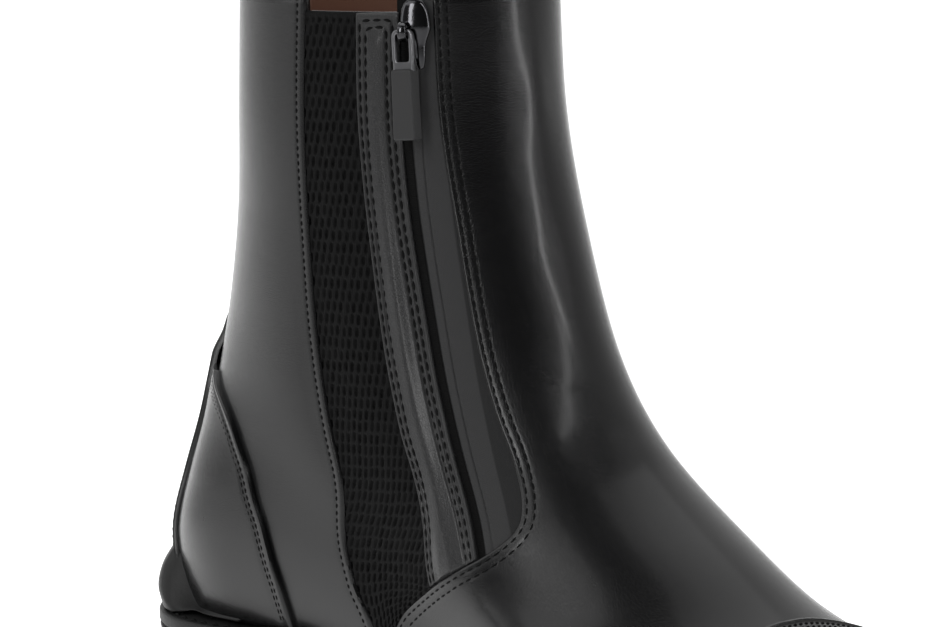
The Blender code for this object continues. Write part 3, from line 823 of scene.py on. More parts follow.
# %% The strip's grid
share = gathered(64, 0.35)
trial_v = np.repeat(np.linspace(PLACKET_TIP, 0.5, 400)[:, None], len(share), 1)
tucked = past_panel(placket_place(share, trial_v), trial_v) < TUCKED
foot_v = trial_v[np.argmax(tucked, axis=0), 0]
end_v = PLACKET_TOP - PLACKET_SLOPE * (1 - share)
v = foot_v + (end_v - foot_v) * gathered(220, 0.3)[:, None]
u = placket_place(share, v)
sides = edge_distances(surface(u, v))
ends = np.array([sides[0], sides[1], sides[3]])
outer_row, inner_row = (ends - np.array(row)[:, None, None] for row in PLACKET_ROWS)
pad = np.prod(smooth(inner_row / PAD_SOFT), axis=0)
placket_out = PLACKET_OUT + PLACKET_PAD * pad - rounded(ends.min(0), PLACKET_ROUND)
for from_row in (outer_row.min(0), inner_row.min(0)):
    placket_out = placket_out - PLACKET_TROUGH * bell(from_row, PLACKET_TROUGH_WIDE)
placket_out = placket_out - UNDER_PANEL * smooth((past_panel(u, v) + UNDER_FROM) / UNDER_SOFT)
points, quads = closed_slab(skin(u, v, placket_out), skin(u, v, -WINDOW_DEEP - PLACKET_SINK))
piece("placket_leather", points, quads, (placket_leather,), "leather", stands_for=("zip_placket",))

# %% [markdown]
# ## The zip
# A reverse zip shows the smooth back of its tape: two dark bands that meet on a fine line, with the coil
# hidden behind. The bands lie on a flat tape at the bottom of the slot between placket and front panel.

# %% Zip bands
# widths in mm: slit beside the placket, painted black as shade; band left of the zip's line; band up to its
# dim edge
ZIP_SLIT, ZIP_LEFT, ZIP_WIDE = 1.8, 3.0, 8.3
TAPE_DIM, DIM_SOFT, ZIP_TIP, ZIP_TOP = 0.5, 0.6, 0.374, 0.997
TAPE_OUT, BAND_HIGH, BAND_SOFT, LINE_DEEP, LINE_WIDE = -1.15, 0.85, 1.0, 0.30, 0.22
UNDER_PLACKET, UNDER_EDGE = 0.004, 0.002
zip_v = np.linspace(ZIP_TIP, ZIP_TOP, 260)
left = seam("placket_front", zip_v)
u, v = strip_places(left - UNDER_PLACKET, seam("panel_edge", zip_v) + UNDER_EDGE, zip_v, 90)
from_band = (u - left[:, None]) * np.linalg.norm(slopes(u, v)[0], axis=-1) - ZIP_SLIT
raised = smooth(from_band / BAND_SOFT)
# colour share: 0 in the slit beside the placket, where black is painted as shade, 1 on the band, less at its
# dim edge
band_and_slit_shade = raised * (1 - TAPE_DIM * smooth((from_band - ZIP_WIDE) / DIM_SOFT))
zip_out = TAPE_OUT + BAND_HIGH * raised - LINE_DEEP * bell(from_band - ZIP_LEFT, LINE_WIDE)
points, quads = closed_slab(skin(u, v, zip_out), skin(u, v, -WINDOW_DEEP - TAPE_SINK))
along = run_lengths(surface(u, v), 0)
band_and_slit_shade_value = np.concatenate([band_and_slit_shade.ravel(), np.zeros(band_and_slit_shade.size)])
along_value = np.concatenate([along.ravel(), along.ravel()])

# %% Zip cloth
RIB_PITCH = 0.55


def zip_material():
    """Dark grey coated bands, dimmer at the far edge, painted black shade in the slit, and fine ribs across.
    """
    made, tree, shader = start_material("zip_tape_cloth")
    band = node(tree, "ShaderNodeAttribute", attribute_name="band").outputs["Fac"]
    far = node(tree, "ShaderNodeAttribute", attribute_name="along").outputs["Fac"]
    ribs = math_node(tree, "SINE", math_node(tree, "MULTIPLY", far, 2 * math.pi / RIB_PITCH), 0.0)
    cloth = noise(tree, object_place(tree), 1800.0, 2.0)
    # painted shade: where the share is 0, in the slit, the colour is black
    colour_mix(tree, band, (0.0012, 0.0012, 0.0012), (0.058, 0.058, 0.059), shader.inputs["Base Color"])
    shader.inputs["Specular IOR Level"].default_value = 0.15
    uneven_polish(tree, shader, (0.45, 0.62), cloth)
    bump(tree, math_node(tree, "ADD", math_node(tree, "MULTIPLY", ribs, 0.4), cloth), 0.00004, shader)
    return made


piece(
    "zip_bands", points, quads, (zip_material(),), "zip_band", stands_for=("zip_tape",),
    band=band_and_slit_shade_value, along=along_value,
)

# %% [markdown]
# ## Stitches
# Seams are sewn with a lockstitch: on the face, each stitch is a short bar of thread whose ends dive into the
# leather. A bevelled curve could stand for a row, but separate bars show the rhythm of the seam. A whole row
# is one array: places at even distances along the seam, and a small closed tube round each.

# %% A row of stitches
TUBE_RINGS, TUBE_SIDES = 5, 6
TUBE_T = np.linspace(-1, 1, TUBE_RINGS)
# in radii, the height of a stitch's middle and how far its ends dive; then its taper and its flatness
THREAD_UP, THREAD_DIVE, THREAD_TAPER, THREAD_FLAT = 0.35, 0.9, 0.88, 0.8
# share of the pitch that a stitch covers
STITCH_SHARE = 0.68


def resample(values, far, at):
    """Vectors along a line, read at given distances from its start."""
    return np.stack([np.interp(at, far, column) for column in values.T], -1)


def stitches(path, ups, pitch, radius, length=STITCH_SHARE):
    """Tubes along a path: rings that narrow to both ends by a circle, arched so that the ends dive in."""
    far = run_lengths(path, 0)
    count = max(int(far[-1] / pitch), 1)
    middles = (np.arange(count) + 0.5) * far[-1] / count
    at = middles[:, None] + TUBE_T * length * pitch / 2
    up = unit(resample(ups, far, at))
    centres = resample(path, far, at) + up * (radius * (THREAD_UP - THREAD_DIVE * TUBE_T**2))[:, None]
    side = unit(np.cross(up, unit(np.gradient(centres, axis=1))))
    angle = 2 * np.pi * np.arange(TUBE_SIDES) / TUBE_SIDES
    swell = radius * np.sqrt(1 - (THREAD_TAPER * TUBE_T) ** 2)
    across = side[:, :, None] * np.cos(angle)[:, None]
    points = centres[:, :, None] + swell[:, None, None] * (
        across + THREAD_FLAT * up[:, :, None] * np.sin(angle)[:, None]
    )
    ends = np.array([(3, 2, 1, 0), (5, 4, 3, 0), (0, 1, 2, 3), (0, 3, 4, 5)])
    ends[2:] += (TUBE_RINGS - 1) * TUBE_SIDES
    one = np.vstack([grid_quads(TUBE_RINGS, TUBE_SIDES, closed_columns=True), ends])
    quads = one + TUBE_RINGS * TUBE_SIDES * np.arange(count)[:, None, None]
    return points.reshape(-1, 3), quads.reshape(-1, 4)


# %% Rows that follow the leather
def beside(u, v, distance):
    """A line on the leather moved sideways: a step square to line and normal, solved in the two slopes."""
    by_u, by_v = slopes(u, v)
    along = unit(np.gradient(surface(u, v), axis=0))
    step = np.cross(unit(np.cross(by_u, by_v)), along) * distance
    uu, uv, vv = (by_u * by_u).sum(-1), (by_u * by_v).sum(-1), (by_v * by_v).sum(-1)
    to_u, to_v = (step * by_u).sum(-1), (step * by_v).sum(-1)
    area = uu * vv - uv**2
    return u + (to_u * vv - to_v * uv) / area, v + (to_v * uu - to_u * uv) / area


def on_leather(u, v, out, pitch, radius, length=STITCH_SHARE):
    """A row of stitches along a line of places on the boot."""
    by_u, by_v = slopes(u, v)
    return stitches(skin(u, v, out), unit(np.cross(by_u, by_v)), pitch, radius, length)


def merged(shapes):
    """Points and quads of several shapes as one set."""
    starts = np.cumsum([0] + [len(points) for points, _ in shapes[:-1]])
    quads = np.vstack([quads + start for (_, quads), start in zip(shapes, starts)])
    return np.vstack([points for points, _ in shapes]), quads


# %% Thread and sewing
def thread_material():
    """Waxed black thread: nearly black, half matt, with a fine twist as bump."""
    made, tree, shader = start_material("waxed_thread")
    twist = noise(tree, object_place(tree), 5000.0, 1.0)
    shader.inputs["Base Color"].default_value = (0.002, 0.002, 0.002, 1.0)
    shader.inputs["Specular IOR Level"].default_value = 0.2
    uneven_polish(tree, shader, (0.55, 0.75), twist)
    bump(tree, twist, 0.00006, shader)
    return made


thread = thread_material()


def sew(name, rows, slot="leather"):
    """One object from several rows of stitches."""
    piece(name, *merged(rows), (thread,), slot)


# %% The seams of quarter, front panel and collar
FINE, BOLD = 0.26, 0.38
# distances in mm from stitch to stitch, and the share of it that a long stitch covers
QUARTER_PITCH, PANEL_PITCH, COLLAR_PITCH, LONG_STITCH = 1.9, 2.7, 2.2, 0.8
COLLAR_SUNK, COLLAR_FREE = 0.5 * TROUGH, (0.012, 0.006)
SEWN_FROM, SEWN_TO = 0.02, 0.996
seam_v = np.linspace(SEWN_FROM, SEWN_TO, 500)
places = beside(seam("gore_rear", seam_v), seam_v, QUARTER_STITCH)
rows = [on_leather(*places, -QUARTER_TROUGH, QUARTER_PITCH, FINE, LONG_STITCH)]
for inside_edge in PANEL_STITCH:
    places = beside(seam("panel_edge", seam_v), seam_v, -inside_edge)
    out = foot_lift(places[1], inside_edge) - PANEL_TROUGH
    rows.append(on_leather(*places, out, PANEL_PITCH, FINE, LONG_STITCH))
collar_from = seam("panel_edge", np.array(1.0)) + COLLAR_FREE[0]
collar_to = 1 + seam("gore_rear", np.array(1.0)) - COLLAR_FREE[1]
collar_u = np.linspace(collar_from, collar_to, 500)
places = beside(collar_u, np.ones_like(collar_u), -COLLAR_STITCH)
rows.append(on_leather(*places, -COLLAR_SUNK, COLLAR_PITCH, FINE))
sew("upper_stitches", rows)

# %% The bold double rows of the placket
# steps of a rounded corner, its size down and across in mm, and the gap left before the front panel
CORNER_STEPS, CORNER_LOW, CORNER_WIDE, PANEL_FREE = 12, 1.6, 2.0, 0.3
CORNER_SHARES = (0.8, 0.2)
PLACKET_PITCH, PLACKET_LENGTH, PLACKET_SUNK = 2.9, 0.84, 0.8 * PLACKET_TROUGH


def bent(start, corner, end):
    """A rounded corner: the quadratic curve that starts and ends on the two arms and leans to the corner."""
    t = np.linspace(0, 1, CORNER_STEPS)[:, None]
    return (1 - t) ** 2 * start + 2 * t * (1 - t) * corner + t**2 * end


def placket_row(from_left, from_right, from_end):
    """Up the strip's left side, across under its top edge, and down its right side."""
    v = np.linspace(PLACKET_TIP, PLACKET_TOP, 400)
    left, right = placket_edges(v)
    by_u, by_v = slopes((left + right) / 2, v)
    round_speed = np.linalg.norm(by_u, axis=-1)
    rise_speed = np.linalg.norm(by_v, axis=-1)[-1]
    end_v = PLACKET_TOP - from_end / rise_speed
    low_v = end_v - PLACKET_SLOPE - CORNER_LOW / rise_speed
    lines = left + from_left / round_speed, right - from_right / round_speed
    sides = [np.column_stack([line, v]) for line in lines]
    free_u = seam("panel_edge", v) - PANEL_FREE / round_speed
    up, back = (side[(v < low_v) & (side[:, 0] < free_u)] for side in sides)
    corner_v = [end_v - corner * PLACKET_SLOPE for corner in CORNER_SHARES]
    corners = [np.array((np.interp(level, v, line), level)) for line, level in zip(lines, corner_v)]
    turn = np.array((CORNER_WIDE / round_speed[-1], 0.0))
    first = bent(up[-1], corners[0], corners[0] + turn)
    second = bent(corners[1] - turn, corners[1], back[-1])
    return np.vstack([up, first, second, back[::-1]]).T


out = PLACKET_OUT - PLACKET_SUNK
sew("placket_stitches", [
    on_leather(*placket_row(*ends), out, PLACKET_PITCH, BOLD, PLACKET_LENGTH) for ends in PLACKET_ROWS
])

# %% The seams of counter, backstay and toe cap
COUNTER_PITCH, BACKSTAY_PITCH, CAP_PITCH = 1.9, 2.0, 1.9
COUNTER_THREAD, COUNTER_LENGTH, CAP_THREAD = 0.75 * FINE, 0.9, 1.2 * FINE
SEWN_IN, SHORT_OF_TOP = 0.13, 0.004
COUNTER_FROM, BACKSTAY_FROM = 0.04, 0.16
rows = []
for way in (1, -1):
    v = np.linspace(COUNTER_FROM, COUNTER_TOP - SHORT_OF_TOP, 300)
    out = COUNTER_UNDER + COUNTER_THICK - SEWN_IN
    for inside_edge in COUNTER_STITCH:
        places = beside(way * soft_spread(COUNTER, v), v, way * inside_edge)
        rows.append(on_leather(*places, out, COUNTER_PITCH, COUNTER_THREAD, COUNTER_LENGTH))
    v = np.linspace(BACKSTAY_FROM, BACKSTAY_TOP - SHORT_OF_TOP, 300)
    out = backstay_under(v) + BACKSTAY_THICK - SEWN_IN
    places = beside(way * soft_spread(BACKSTAY, v), v, way * BACKSTAY_STITCH)
    rows.append(on_leather(*places, out, BACKSTAY_PITCH, FINE))
for inside_edge in CAP_STITCH:
    places = beside(cap_seam_u, cap_seam_v, -inside_edge)
    rows.append(on_leather(*places, CAP_UNDER + CAP_THICK - SEWN_IN, CAP_PITCH, CAP_THREAD))
sew("overlay_stitches", rows)

# %% [markdown]
# ## Slider and pull
# The slider is a small polished shield of dark nickel with a bridge on its face. The pull hangs on the
# bridge: a flat frame, and below it a solid block. Each is a bar or a lofted block in the solid's own frame,
# so that the pull turns on the same axis as the solid one.

# %% Frames of slider and pull
SLIDER_ROUND, SLIDER_LEVEL = 0.3645, 0.965
# how far round and how far down the zip's way is taken, and how far down its outward way
WAY_ROUND, WAY_DOWN, OUT_DOWN = 0.004, 0.115, 0.05
BRIDGE_SHIFT, PULL_HIGH, PULL_TWIST = -2.7, 5.0, math.radians(20.0)
PULL_WIDE, FRAME_LONG, BLOCK_THICK, BLOCK_LONG = 6.0, 9.8, 4.2, 17.6

top_place = surface(SLIDER_ROUND, SLIDER_LEVEL)
down_way = unit(surface(SLIDER_ROUND - WAY_ROUND, SLIDER_LEVEL - WAY_DOWN) - top_place)
out_way = unit(np.cross(*slopes(SLIDER_ROUND, SLIDER_LEVEL - OUT_DOWN)))
across_way = unit(np.cross(out_way, down_way))
out_way = np.cross(down_way, across_way)
slider_axes = np.stack([across_way, -down_way, out_way])
hinge_place = top_place + BRIDGE_SHIFT * across_way + PULL_HIGH * out_way
pull_axes = np.stack([
    math.cos(PULL_TWIST) * across_way + math.sin(PULL_TWIST) * out_way, -down_way,
    math.cos(PULL_TWIST) * out_way - math.sin(PULL_TWIST) * across_way,
])
print("pull hangs at", np.round(hinge_place, 1))

# %% Bars and blocks
BAR_SIDES, BLOCK_SIDES = 16, 64


def squared(angle, power):
    """Cosine and sine of a superellipse: each keeps its sign and is raised to 2 / power, to fill corners."""
    c, s = np.cos(angle), np.sin(angle)
    return np.sign(c) * np.abs(c) ** (2 / power), np.sign(s) * np.abs(s) ** (2 / power)


def bar(path, wide_way, wide, thick, power=3.0, closed=False):
    """A bar along a path: superellipse rings, wide one way and thick the other; open ends close up."""
    way = np.gradient(path, axis=0)
    if closed:
        way = np.roll(path, -1, 0) - np.roll(path, 1, 0)
    wide_way = np.broadcast_to(np.asarray(wide_way, float), path.shape)
    thick_way = unit(np.cross(way, wide_way))
    c, s = squared(2 * np.pi * np.arange(BAR_SIDES) / BAR_SIDES, power)
    rings = path[:, None] + wide / 2 * c[:, None] * wide_way[:, None]
    rings = rings + thick / 2 * s[:, None] * thick_way[:, None]
    if not closed:
        ends = [np.repeat(path[[end], None], BAR_SIDES, 1) for end in (0, -1)]
        rings = np.concatenate([ends[0], rings, ends[1]])
    return rings.reshape(-1, 3), grid_quads(len(rings), BAR_SIDES, closed_rows=closed, closed_columns=True)


def block(levels, half_wide, half_thick, middle, power):
    """A block lofted up its own y axis: superellipse rings with a half width and half thickness each."""
    c, s = squared(2 * np.pi * np.arange(BLOCK_SIDES) / BLOCK_SIDES, power)
    x = half_wide[:, None] * c
    z = middle + half_thick[:, None] * s
    rings = np.stack([x, np.broadcast_to(levels[:, None], x.shape), z], -1)
    return rings.reshape(-1, 3), grid_quads(len(levels), BLOCK_SIDES, closed_columns=True)


def joined(shapes, axes, origin):
    """Shapes in one frame as one set of points and quads on the boot."""
    points, quads = merged(shapes)
    return origin + points @ axes, quads


def end_round(levels, radius):
    """How far a block has drawn in at each level for its rounded ends: a quarter circle at both."""
    nearest = np.minimum(levels - levels.min(), levels.max() - levels)
    return rounded(nearest, radius)


# %% Metal materials
def metal_material(name, colour, rough, metallic, scratch):
    """A polished or painted metal: roughness varies with fine rubbing marks."""
    made, tree, shader = start_material(name)
    place = object_place(tree)
    marks = noise(tree, place, 700.0, 4.0, 0.6)
    shader.inputs["Base Color"].default_value = (*colour, 1.0)
    shader.inputs["Metallic"].default_value = metallic
    uneven_polish(tree, shader, rough, marks)
    bump(tree, noise(tree, place, 2500.0, 2.0), scratch, shader)
    return made


dark_nickel = metal_material("dark_nickel", (0.09, 0.09, 0.095), (0.06, 0.15), 1.0, 0.00001)
satin_nickel = metal_material("satin_nickel", (0.24, 0.24, 0.25), (0.26, 0.38), 1.0, 0.00001)
pull_paint = metal_material("pull_paint", (0.040, 0.040, 0.041), (0.42, 0.58), 0.0, 0.00003)

# %% The slider
SLIDER_MIDDLE, SLIDER_HALF, SLIDER_DRAW, SLIDER_OUT, SLIDER_POWER = -0.8, 8.8, 0.6, 1.7, 2.4
CROWN_HALF, CROWN_FROM, CROWN_LONG, CROWN_MORE = 4.0, -4.0, 5.5, 0.7
LIMB_SHARE, LIMB_SHIFT, LIMB_THICK = 0.42, 0.8, 1.3
BRIDGE_LONG, BRIDGE_LOW, BRIDGE_HIGH, BRIDGE_WIDE, BRIDGE_THICK = 2.1, 1.6, 5.2, 2.2, 1.1
BRIDGE_POWER = 3.0


def crown_share(y):
    """0 on the slider's narrow limb and 1 on its broad crown, with an S curve between."""
    return smooth((y - CROWN_FROM) / CROWN_LONG)


turn = np.linspace(-np.pi / 2, np.pi / 2, 60)
slider_y = SLIDER_MIDDLE + SLIDER_HALF * np.sin(turn)
draw_in = np.maximum(np.cos(turn), 0) ** SLIDER_DRAW
crown = crown_share(slider_y)
half_wide = CROWN_HALF * (LIMB_SHARE + (1 - LIMB_SHARE) * crown) * draw_in
half_thick = (LIMB_THICK + CROWN_MORE * crown) * draw_in
shield_points, shield_quads = block(slider_y, half_wide, half_thick, SLIDER_OUT, SLIDER_POWER)
shield_points[:, 0] += LIMB_SHIFT * (1 - crown_share(shield_points[:, 1]))
arch_y, arch_z = squared(np.linspace(np.pi, 0, 33), BRIDGE_POWER)
arch_x = np.full_like(arch_y, BRIDGE_SHIFT)
arch_path = np.stack([arch_x, BRIDGE_LONG * arch_y, BRIDGE_LOW + BRIDGE_HIGH * arch_z], -1)
arch = bar(arch_path, (1, 0, 0), BRIDGE_WIDE, BRIDGE_THICK, BRIDGE_POWER)
points, quads = joined([(shield_points, shield_quads), arch], slider_axes, top_place)
piece("slider_metal", points, quads, (dark_nickel,), "dark_metal", stands_for=("zip_slider",), welded=True)

# %% The pull
HOOP_WIDE, HOOP_THICK, HOOP_HALF, HOOP_POWER, HOOP_SECTION = 1.15, 1.6, 4.0, 6.0, 5.0
NECK_WIDE, NECK_THICK, NECK_TOP, NECK_END, NECK_POWER = 2.85, 0.85, -7.6, 0.2, 8
BLOCK_STEPS, BLOCK_LAP, BLOCK_ROUND, BLOCK_TAPER, BLOCK_POWER = 48, 0.5, 0.6, 0.004, 16
hoop_x, hoop_y = squared(np.linspace(0, 2 * np.pi, 97)[:-1], HOOP_POWER)
hoop_x = (PULL_WIDE - HOOP_WIDE) / 2 * hoop_x
hoop_y = -HOOP_HALF + HOOP_HALF * hoop_y
hoop_path = np.stack([hoop_x, hoop_y, np.zeros_like(hoop_x)], -1)
hoop = bar(hoop_path, (0, 0, 1), HOOP_THICK, HOOP_WIDE, HOOP_SECTION, closed=True)
neck_y = np.array([-FRAME_LONG - NECK_END, -FRAME_LONG, NECK_TOP, NECK_TOP + NECK_END])
neck_size = np.array([0.0, 1.0, 1.0, 0.0])
neck = block(neck_y, NECK_WIDE * neck_size, NECK_THICK * neck_size, 0.0, NECK_POWER)
points, quads = joined([hoop, neck], pull_axes, hinge_place)
piece("pull_hoop", points, quads, (satin_nickel,), "dark_metal", body="pull", welded=True)

block_low = -FRAME_LONG - BLOCK_LONG + BLOCK_LAP
block_y = block_low + BLOCK_LONG * gathered(BLOCK_STEPS, 1.0)
block_in = end_round(block_y, BLOCK_ROUND)
closing = np.concatenate([[0.0], np.ones(BLOCK_STEPS - 2), [0.0]])
half_wide = (PULL_WIDE / 2 * (1 - BLOCK_TAPER * (block_y - block_low)) - block_in) * closing
tag = block(block_y, half_wide, (BLOCK_THICK / 2 - block_in) * closing, 0.0, BLOCK_POWER)
points, quads = joined([tag], pull_axes, hinge_place)
piece(
    "pull_block", points, quads, (pull_paint,), "pull_paint", body="pull", stands_for=("zip_pull",),
    welded=True,
)

# %% [markdown]
# ## Sole, heel and spur rest
# Under the boot is a rubber sole with a stitched rim, a low stacked heel and, round the back, a ledge that
# carries a spur. Plates could be bevelled for them, but closed loops across the foot follow the last and can
# carry tread.

# %% Rubber
def rubber_material():
    """Black moulded rubber: half matt, with a fine pebble and slow unevenness."""
    made, tree, shader = start_material("black_rubber")
    place = object_place(tree)
    pebble = noise(tree, place, 1400.0, 3.0)
    tone = noise(tree, place, 60.0)
    colour_mix(tree, tone, (0.006, 0.006, 0.006), (0.011, 0.011, 0.011), shader.inputs["Base Color"])
    uneven_polish(tree, shader, (0.38, 0.6), pebble)
    bump(tree, pebble, 0.00006, shader)
    return made


black_rubber = rubber_material()

# %% The sole's outline and sides
SOLE_GAP, RIM = 0.4, 4.2
HEEL_FLARE, FLARE_FROM, FLARE_FADE = 6.0, 0.14, 0.22
HEEL_TOP, WAIST_FROM, TREAD_BACK = 25.0, 78.0, 132.0
TREAD_FRONT, TOE_LIFT, TOE_LONG, TOE_POWER = 205.0, 9.0, 48.0, 1.7
# distance out from the rim and share of the way down, from the top ledge to the tread
SOLE_SIDE = np.array([
    (-1.1, 0.000), (-0.5, 0.012), (-0.15, 0.045), (0.0, 0.10), (0.0, 0.42), (-0.2, 0.455), (-0.9, 0.480),
    (-1.0, 0.520), (-1.0, 0.580), (-0.9, 0.610), (-0.3, 0.640), (-0.2, 0.680), (-0.5, 0.900), (-0.7, 0.975),
    (-1.1, 1.000),
])


def tread(x):
    """Height of the sole's under side: up at the heel, flat at the ball, and a power curve to the toe."""
    waist = HEEL_TOP * (1 - smooth((x - WAIST_FROM) / (TREAD_BACK - WAIST_FROM)))
    return waist + TOE_LIFT * np.clip((x - TREAD_FRONT) / TOE_LONG, 0, None) ** TOE_POWER


def outline(half, out):
    """Plan of the feather line moved out level, from the back (0) to the toe (1): outer side, then inner."""
    sides = []
    for u in (half / 2, 1 - half / 2):
        ahead = slopes(u, np.zeros_like(u))[0]
        away = unit(np.stack([ahead[:, 1], -ahead[:, 0]], -1))
        sides.append(surface(u, 0.0)[:, :2] + away * out[:, None])
    return sides


def side_rows(half, profile, rim, top_height, low_height):
    """Both sides of a sole as rows of points from the top face down."""
    outer, inner = [], []
    for out, share in profile:
        for rows, plan in zip((outer, inner), outline(half, rim + out)):
            x = plan[:, 0] + HEEL_CENTRE
            rows.append(np.column_stack([plan, top_height(x) * (1 - share) + low_height(x) * share]))
    return np.array(outer), np.array(inner)


def across_rows(start, end, columns):
    """Rows of points across a sole between its two sides."""
    t = np.linspace(0, 1, columns + 2)[1:-1, None, None]
    return start + (end - start) * t


def sole_loops(outer, inner, under, over):
    """Closed loops across a sole: down the outer side, under, up the inner side, and over the top."""
    loops = np.moveaxis(np.concatenate([outer, under, inner[::-1], over]), 0, 1)
    return loops.reshape(-1, 3), grid_quads(*loops.shape[:2], closed_columns=True)


def heel_flare(half):
    """How much further the sole stands out round the heel: an S curve that ends before the waist."""
    return HEEL_FLARE * (1 - smooth((half - FLARE_FROM) / FLARE_FADE))


# %% Outsole with its tread
GROOVE_PITCH, GROOVE_WIDE, GROOVE_DEEP, GROOVE_LEAN, GROOVE_MARGIN = 7.0, 1.0, 1.3, 0.35, 7.0
GROOVE_BACK, GROOVE_FRONT, GROOVE_FADE, MARGIN_FADE, GROOVE_SOFT = 130.0, 232.0, 2.0, 0.8, 0.6
half = np.linspace(0, 1, 420)
heel_rim = heel_flare(half)
outer, inner = side_rows(half, SOLE_SIDE, RIM + heel_rim, lambda x: feather(x) - SOLE_GAP, tread)
under = across_rows(outer[-1], inner[-1], 44)
over = across_rows(inner[0], outer[0], 4)
edge_far = np.minimum(np.linalg.norm(under - outer[-1], axis=-1), np.linalg.norm(under - inner[-1], axis=-1))
middle_y = (outer[-1] + inner[-1])[:, 1] / 2
foot_x = under[..., 0] + HEEL_CENTRE
phase = (foot_x + GROOVE_LEAN * np.abs(under[..., 1] - middle_y)) / GROOVE_PITCH
from_groove = np.abs(phase - np.round(phase)) * GROOVE_PITCH
field = smooth((edge_far - GROOVE_MARGIN) / MARGIN_FADE)
field = field * smooth((foot_x - GROOVE_BACK) / GROOVE_FADE) * smooth((GROOVE_FRONT - foot_x) / GROOVE_FADE)
under[..., 2] += GROOVE_DEEP * field * (1 - smooth((from_groove - GROOVE_WIDE) / GROOVE_SOFT))
points, quads = sole_loops(outer, inner, under, over)
piece(
    "outsole_rubber", points, quads, (black_rubber,), "rubber", stands_for=("outsole",), sharp=35,
    welded=True,
)

# %% Welt stitches
WELT_IN, WELT_UP, WELT_PITCH, WELT_THREAD = 2.2, 0.05, 4.0, 0.45
welt_rows = []
for plan in outline(half, RIM + heel_rim - WELT_IN):
    path = np.column_stack([plan, feather(plan[:, 0] + HEEL_CENTRE) - SOLE_GAP + WELT_UP])
    ups = np.broadcast_to((0.0, 0.0, 1.0), path.shape)
    welt_rows.append(stitches(path, ups, WELT_PITCH, WELT_THREAD))
sew("welt_stitches", welt_rows, "rubber")

# %% Heel
HEEL_BREAST, SEAT_IN, HEEL_HALF = 72.0, 0.6, 32.0
# height, size of the plan, distance of the breast behind its top, and distance in from the side
HEEL_ROWS = np.array([
    (24.65, 1.000, 0.0, 0.5), (24.2, 1.002, 0.0, 0.0), (23.0, 1.010, 0.0, 0.0), (7.4, 0.977, 2.5, 0.0),
    (7.0, 0.976, 2.6, 0.5), (6.4, 0.975, 2.7, 0.5), (6.0, 0.974, 2.8, 0.0), (0.6, 0.951, 3.9, 0.0),
    (0.0, 0.950, 4.0, 0.6),
])
# size and height of the loops that close the under side in a shallow hollow
HEEL_HOLLOW = ((0.80, 0.0), (0.78, 1.0), (0.0, 1.0))
seat = np.linspace(0, 1, 600)
seat_outer, seat_inner = outline(seat, RIM - SEAT_IN + heel_flare(seat))


def heel_loop(height, size, breast_back, inside):
    """The sole's rear plan cut off at the breast, as one closed loop at a height, shrunk about its middle."""
    end = HEEL_BREAST - HEEL_CENTRE - breast_back
    back = seat_outer[0, 0]
    x = back + (1 - np.cos(np.linspace(0, np.pi / 2, 40))) * (end - back)
    sides = [np.column_stack([x, np.interp(x, side[:, 0], side[:, 1])]) for side in (seat_outer, seat_inner)]
    breast = np.linspace(sides[1][-1], sides[0][-1], 12)[1:-1]
    loop = np.vstack([sides[0][::-1], sides[1][1:], breast]) * size
    loop = loop * (1 - inside / HEEL_HALF)
    return np.column_stack([loop, np.full(len(loop), height)])


loops = [heel_loop(*row) for row in HEEL_ROWS]
hollow = [loops[-1] * (size, size, 1) + (0, 0, lift) for size, lift in HEEL_HOLLOW]
loops = np.array([loops[0] * (0, 0, 1)] + loops + hollow)
quads = grid_quads(*loops.shape[:2], closed_columns=True)
piece(
    "heel_rubber", loops.reshape(-1, 3), quads, (black_rubber,), "rubber", stands_for=("heel",), sharp=35,
    welded=True,
)

# %% Spur rest
SPUR_END, SPUR_LOW, SPUR_DROP, SPUR_SHORT = 0.125, 0.019, 0.6, 0.004
SPUR_BULGE, SPUR_EDGE, SPUR_THIN, THIN_FROM, THIN_LONG = 9.0, 3.8, 3.2, 0.07, 0.05
SPUR_SINK, SPUR_SOFT, SPUR_ROUND, SPUR_UNDER = 0.6, 6.0, 1.0, 0.1
LEDGE_FROM, LEDGE_LONG = 0.25, 0.75
share = 2 * gathered(90) - 1
rise = gathered(40)[:, None]
u = np.repeat((share * SPUR_END)[None], len(rise), 0)
thinning = smooth((np.abs(u) - THIN_FROM) / THIN_LONG)
low = SPUR_LOW * (1 - SPUR_DROP * thinning)
v = low + rise * (spur_top(u) - low - SPUR_SHORT)
ledge = SPUR_EDGE + (SPUR_BULGE - SPUR_EDGE) * (1 - smooth((rise - LEDGE_FROM) / LEDGE_LONG))
bulge = SPUR_THIN + (ledge - SPUR_THIN) * (1 - thinning)
from_left, from_right, from_bottom, from_top = edge_distances(surface(u, v))
into = 1 - np.clip(np.minimum.reduce([from_left, from_right, from_top]) / SPUR_SOFT, 0, 1)
spur_out = SPUR_SINK + (bulge - SPUR_SINK) * np.sqrt(1 - into**2) - rounded(from_bottom, SPUR_ROUND)
points, quads = closed_slab(skin(u, v, spur_out), skin(u, v, SPUR_UNDER))
piece("spur_rest_rubber", points, quads, (black_rubber,), "rubber", stands_for=("spur_rest",))

# %% Insole
INSOLE_SIDE = np.array([(-1.0, 0.0), (-0.3, 0.06), (0.0, 0.25), (0.0, 1.0)])
INSOLE_IN, INSOLE_LIFT, INSOLE_THICK = 4.0, 0.2, 3.0
half = np.linspace(0, 1, 120)
outer, inner = side_rows(
    half, INSOLE_SIDE, np.full_like(half, -INSOLE_IN), lambda x: feather(x) + INSOLE_LIFT + INSOLE_THICK,
    lambda x: feather(x) + INSOLE_LIFT,
)
under, over = across_rows(outer[-1], inner[-1], 4), across_rows(inner[0], outer[0], 24)
points, quads = sole_loops(outer, inner, under, over)
piece("insole_leather", points, quads, (lining_leather,), "lining", stands_for=("insole",), welded=True)

